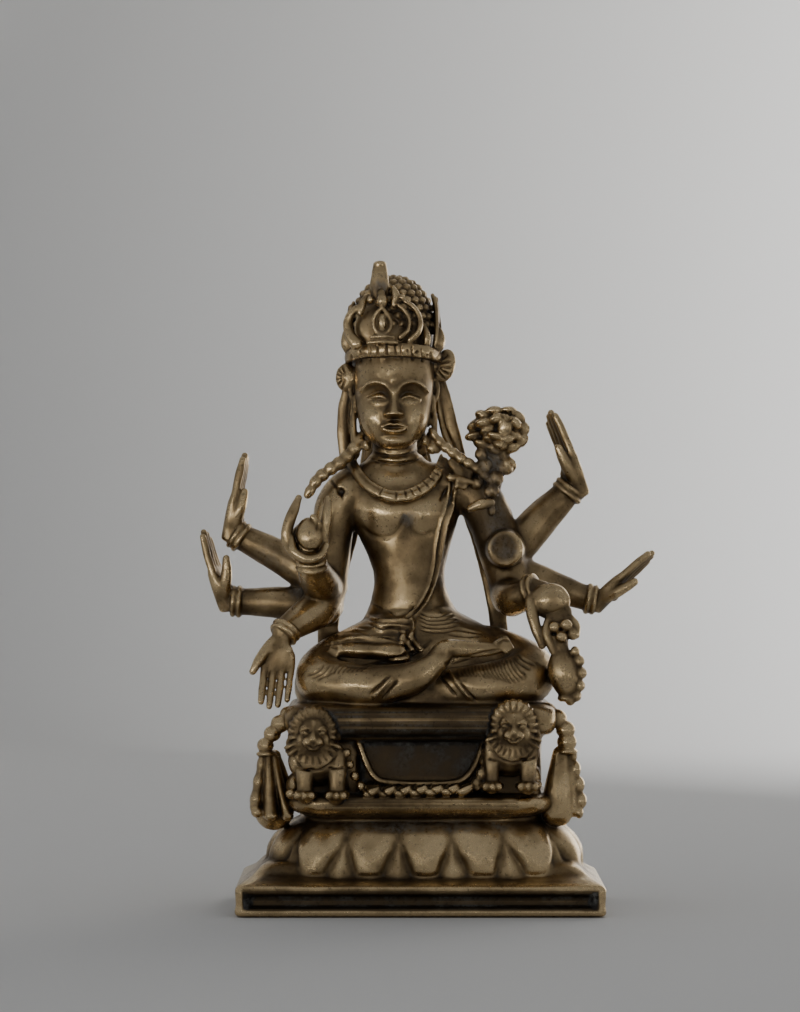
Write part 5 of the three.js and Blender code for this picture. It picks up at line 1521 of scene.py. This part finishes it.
def makeAll():
    """Main forms first, softened as one casting; then the small forms on top, softened a little."""
    main = makePlinth() + makeLotus() + makeThrone() + makeLegs() + makeTorso() + makeArms() + makeScarves()
    verts, faces = reskin(*gather(main), skin["coarse"])
    verts = castSoft(verts, faces, 7, 0.3)
    print("main forms", len(verts))
    small = makeGarland() + makeCloths() + makeDress() + makeHead() + makeCrown() + makeCurls() + makeHair()
    small += makeVase() + makeFlower() + makeHands() + makeFeet()
    for lion in lions:
        small += makeLion(lion)
    quads = np.vstack([faces[:, [0, 1, 2]], faces[:, [0, 2, 3]]])
    verts, faces = reskin(*gather([(verts, quads), *small]), skin["fine"])
    verts = castSoft(verts, faces, 2, 0.1)
    print("all forms", len(verts))
    return drawLines(verts, faces), faces


def thinned(verts, faces, target):
    """The skin with fewer triangles where it is flat, by edge collapse."""
    mesh = meshFrom("thick", verts, faces)
    thing = bpy.data.objects.new("thick", mesh)
    bpy.context.collection.objects.link(thing)
    change = thing.modifiers.new("thin", "DECIMATE")
    change.decimate_type = "COLLAPSE"
    change.ratio = min(1.0, target / (len(faces) * (faces.shape[1] - 2)))
    change.use_collapse_triangulate = True
    graph = bpy.context.evaluated_depsgraph_get()
    done = bpy.data.meshes.new_from_object(thing.evaluated_get(graph))
    out = np.empty(len(done.vertices) * 3, np.float32)
    done.vertices.foreach_get("co", out)
    corner = np.empty(len(done.loops), np.int32)
    done.loops.foreach_get("vertex_index", corner)
    bpy.data.objects.remove(thing)
    bpy.data.meshes.remove(mesh)
    bpy.data.meshes.remove(done)
    return out.reshape(-1, 3).astype(float), corner.reshape(-1, 3)


# surface measures for the patina and for the painted shade in hollows


def crowding(verts, normals, cell, reach):
    """How much other surface lies in front of each point: the points are counted into a grid of
    cells, the grid is blurred, and it is read a step out along the normal. Crevices read high."""
    low = verts.min(0) - 6 * cell
    size = np.ceil((verts.max(0) + 6 * cell - low) / cell).astype(int)
    where = ((verts - low) / cell).astype(int)
    flat = np.ravel_multi_index(where.T, size)
    grid = (np.bincount(flat, minlength=size.prod()) > 0).astype(np.float32).reshape(size)
    for _ in range(2):
        for axis in range(3):
            grid = (np.roll(grid, 1, axis) + grid + np.roll(grid, -1, axis)) / 3
    read = ((verts + normals * reach - low) / cell).astype(int)
    return grid[tuple(np.clip(read, 0, size - 1).T)]


def surfaceMeasures(verts, faces):
    """Two numbers for each vertex: hollow (0 to 1 in creases and where other surface crowds in front, used for patina
    together with painted shade) and proud (0 to 1 on rubbed edges).
    """
    links = neighbours(faces, len(verts))
    normals = skinNormals(verts, faces)
    smooth, hollow, proud = verts, np.zeros(len(verts)), np.zeros(len(verts))
    done = 0
    for rounds, weight in ((4, 0.6), (14, 0.42), (45, 0.14)):
        while done < rounds:
            smooth = smooth + 0.7 * (averaged(smooth, links) - smooth)
            done += 1
        lift = np.einsum("ij,ij->i", verts - smooth, normals)
        spread = np.std(lift) + 1e-9
        hollow += weight * np.clip(-lift / spread, 0, 3)
        proud += weight * np.clip(lift / spread, 0, 3)
    # crowding is how much surface lies close in front of a point, as in occlusion: added to hollow, it paints shade
    # into the colour on top of the patina in creases
    crowd = crowding(verts, normals, 1.0, 2.2)
    for _ in range(3):
        crowd = 0.5 * crowd + 0.5 * averaged(crowd, links)
    hollow = np.clip(0.42 * hollow + 0.3 * np.clip((crowd - 0.14) / 0.4, 0, 1), 0, 1.2)
    proud = np.clip(proud, 0, 1.5)
    for _ in range(2):
        hollow = 0.5 * hollow + 0.5 * averaged(hollow, links)
        proud = 0.5 * proud + 0.5 * averaged(proud, links)
    return hollow, proud


# brass

brass = {
    "bare": (0.60, 0.45, 0.25),
    "warm": (0.29, 0.205, 0.105),
    "brown": (0.105, 0.073, 0.040),
    # black: painted shade mixed with patina in the hollows, and also the fine dark speckle
    "black": (0.022, 0.018, 0.014),
    "dust": (0.20, 0.195, 0.175),
}


def newGroup(name, inputs, outputs):
    """An empty node group with the named inputs (name, kind, value) and outputs (name, kind)."""
    tree = bpy.data.node_groups.new(name, "ShaderNodeTree")
    for label, kind, value in inputs:
        socket = tree.interface.new_socket(label, in_out="INPUT", socket_type=kind)
        if value is not None:
            socket.default_value = value
    for label, kind in outputs:
        tree.interface.new_socket(label, in_out="OUTPUT", socket_type=kind)
    return tree, tree.nodes.new("NodeGroupInput"), tree.nodes.new("NodeGroupOutput")


def mixColour(tree, factor, first, second):
    """A Mix node for colours; each argument is a socket or a value."""
    node = tree.nodes.new("ShaderNodeMix")
    node.data_type = "RGBA"
    for slot, value in ((0, factor), (6, first), (7, second)):
        if isinstance(value, bpy.types.NodeSocket):
            tree.links.new(value, node.inputs[slot])
        else:
            node.inputs[slot].default_value = value if slot == 0 else (*value, 1)
    return node.outputs[2]


def ramp(tree, value, low, high, outLow=0.0, outHigh=1.0):
    """A clamped linear map of a value."""
    node = tree.nodes.new("ShaderNodeMapRange")
    node.clamp = True
    for label, number in (("From Min", low), ("From Max", high), ("To Min", outLow), ("To Max", outHigh)):
        node.inputs[label].default_value = number
    tree.links.new(value, node.inputs["Value"])
    return node.outputs["Result"]


def calc(tree, kind, first, second):
    """A Math node on sockets or numbers."""
    node = tree.nodes.new("ShaderNodeMath")
    node.operation = kind
    for slot, value in ((0, first), (1, second)):
        if isinstance(value, bpy.types.NodeSocket):
            tree.links.new(value, node.inputs[slot])
        else:
            node.inputs[slot].default_value = value
    return node.outputs[0]


def noise(tree, place, scale, detail=4.0, roughness=0.55):
    """A noise field on Object coordinates, in features per metre."""
    node = tree.nodes.new("ShaderNodeTexNoise")
    node.inputs["Scale"].default_value = scale
    node.inputs["Detail"].default_value = detail
    node.inputs["Roughness"].default_value = roughness
    tree.links.new(place, node.inputs["Vector"])
    return node.outputs["Fac"]


def makePatinaAndShadeGroup():
    """Patina and painted shade: where the metal is bare, brown or black, from the hollow and proud measures broken up
    by noise, the black in the hollows being partly patina and partly painted shade; and where pale dust lies, in
    creases and on the rough patches."""
    tree, source, sink = newGroup(
        "castPatinaAndShade",
        [
            ("Hollow", "NodeSocketFloat", 0.0),
            ("Proud", "NodeSocketFloat", 0.0),
            ("Rough", "NodeSocketFloat", 0.0),
            ("Place", "NodeSocketVector", None),
        ],
        [("Color", "NodeSocketColor"), ("Roughness", "NodeSocketFloat"), ("Metallic", "NodeSocketFloat")],
    )
    place, hollow, crust = (source.outputs[k] for k in ("Place", "Hollow", "Rough"))
    broad = noise(tree, place, 38, 3)
    mid = noise(tree, place, 150, 5, 0.62)
    fine = noise(tree, place, 900, 4, 0.6)
    rub = calc(tree, "ADD", source.outputs["Proud"], ramp(tree, mid, 0.3, 0.7, -0.28, 0.28))
    rub = calc(tree, "ADD", rub, ramp(tree, broad, 0.34, 0.66, -0.35, 0.3))
    # hollows are pulled away from the bare and warm tones: partly patina, partly painted shade
    rub = calc(tree, "SUBTRACT", rub, calc(tree, "MULTIPLY", hollow, 1.3))
    rub = calc(tree, "SUBTRACT", rub, calc(tree, "MULTIPLY", crust, 0.8))
    # painted shade together with patina: the hollow measure darkens the colour to near black here and lowers the
    # metallic value below
    darkPatinaAndShade = calc(tree, "ADD", hollow, ramp(tree, mid, 0.3, 0.7, -0.12, 0.12))
    colour = mixColour(tree, ramp(tree, rub, -0.5, 0.25), brass["brown"], brass["warm"])
    colour = mixColour(tree, ramp(tree, rub, 0.1, 0.95), colour, brass["bare"])
    colour = mixColour(tree, ramp(tree, darkPatinaAndShade, 0.22, 0.7), colour, brass["black"])
    dust = calc(tree, "MULTIPLY", ramp(tree, hollow, 0.3, 0.7), ramp(tree, mid, 0.45, 0.62))
    dust = calc(tree, "MAXIMUM", dust, calc(tree, "MULTIPLY", ramp(tree, crust, 0.25, 0.8), ramp(tree, mid, 0.36, 0.6)))
    dust = calc(tree, "MULTIPLY", dust, ramp(tree, fine, 0.36, 0.56))
    colour = mixColour(tree, calc(tree, "MULTIPLY", dust, 0.6), colour, brass["dust"])
    colour = mixColour(tree, ramp(tree, fine, 0.42, 0.3, 0.0, 0.5), colour, brass["black"])
    shine = ramp(tree, rub, -0.4, 0.8, 0.46, 0.24)
    shine = calc(tree, "ADD", shine, ramp(tree, fine, 0.3, 0.7, -0.04, 0.06))
    shine = calc(tree, "ADD", shine, calc(tree, "MULTIPLY", dust, 0.3))
    metal = calc(tree, "SUBTRACT", ramp(tree, darkPatinaAndShade, 0.3, 0.9, 1.0, 0.6), calc(tree, "MULTIPLY", dust, 0.6))
    tree.links.new(colour, sink.inputs["Color"])
    tree.links.new(shine, sink.inputs["Roughness"])
    tree.links.new(metal, sink.inputs["Metallic"])
    return tree


def makeGrainGroup():
    """The skin of the casting as a height: soft waves, fine grain and scattered pinholes."""
    tree, source, sink = newGroup(
        "castGrain", [("Place", "NodeSocketVector", None)], [("Height", "NodeSocketFloat")]
    )
    place = source.outputs["Place"]
    waves = calc(tree, "MULTIPLY", noise(tree, place, 220, 3), 0.5)
    grain = calc(tree, "MULTIPLY", noise(tree, place, 1500, 5, 0.7), 0.22)
    cells = tree.nodes.new("ShaderNodeTexVoronoi")
    cells.inputs["Scale"].default_value = 620
    tree.links.new(place, cells.inputs["Vector"])
    holes = calc(tree, "MULTIPLY", ramp(tree, cells.outputs["Distance"], 0.05, 0.16), 0.35)
    sparse = ramp(tree, noise(tree, place, 120, 2), 0.52, 0.62)
    holes = calc(tree, "MULTIPLY", calc(tree, "SUBTRACT", holes, 0.35), sparse)
    total = calc(tree, "ADD", calc(tree, "ADD", waves, grain), holes)
    tree.links.new(total, sink.inputs["Height"])
    return tree


def makeBrass():
    """Old brass: the group of patina and painted shade drives colour, roughness and metal, the grain group the bump."""
    material = bpy.data.materials.new("oldBrass")
    material.use_nodes = True
    tree = material.node_tree
    shader = tree.nodes["Principled BSDF"]
    place = tree.nodes.new("ShaderNodeTexCoord").outputs["Object"]
    patinaAndShade = tree.nodes.new("ShaderNodeGroup")
    patinaAndShade.node_tree = makePatinaAndShadeGroup()
    grain = tree.nodes.new("ShaderNodeGroup")
    grain.node_tree = makeGrainGroup()
    for label in ("Hollow", "Proud", "Rough"):
        read = tree.nodes.new("ShaderNodeAttribute")
        read.attribute_name = label.lower()
        tree.links.new(read.outputs["Fac"], patinaAndShade.inputs[label])
    tree.links.new(place, patinaAndShade.inputs["Place"])
    tree.links.new(place, grain.inputs["Place"])
    bump = tree.nodes.new("ShaderNodeBump")
    bump.inputs["Strength"].default_value = 0.4
    bump.inputs["Distance"].default_value = 0.0003
    tree.links.new(grain.outputs["Height"], bump.inputs["Height"])
    for label, target in (("Color", "Base Color"), ("Roughness", "Roughness"), ("Metallic", "Metallic")):
        tree.links.new(patinaAndShade.outputs[label], shader.inputs[target])
    tree.links.new(bump.outputs["Normal"], shader.inputs["Normal"])
    return material


# the finished piece


def finishFigure():
    verts, faces = makeAll()
    dense = len(verts)
    verts, faces = thinned(verts, faces, skin["triangles"])
    print("thinned", len(faces))
    hollow, proud = surfaceMeasures(verts, faces)
    normals = skinNormals(verts, faces)
    rough = roughness(verts, normals)
    verts = castSkin(verts, normals, rough)
    mesh = meshFrom("castFigure", verts * mm, faces)
    for name, values in (("hollow", hollow), ("proud", proud), ("rough", rough)):
        layer = mesh.attributes.new(name, "FLOAT", "POINT")
        layer.data.foreach_set("value", values.astype(np.float32))
    mesh.shade_smooth()
    mesh.materials.append(makeBrass())
    figure = bpy.data.objects.new("castFigure", mesh)
    bpy.context.collection.objects.link(figure)
    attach(figure, "root")
    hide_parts("avalokiteshvara_figure")
    return figure


finishFigure()
print("figure finished")
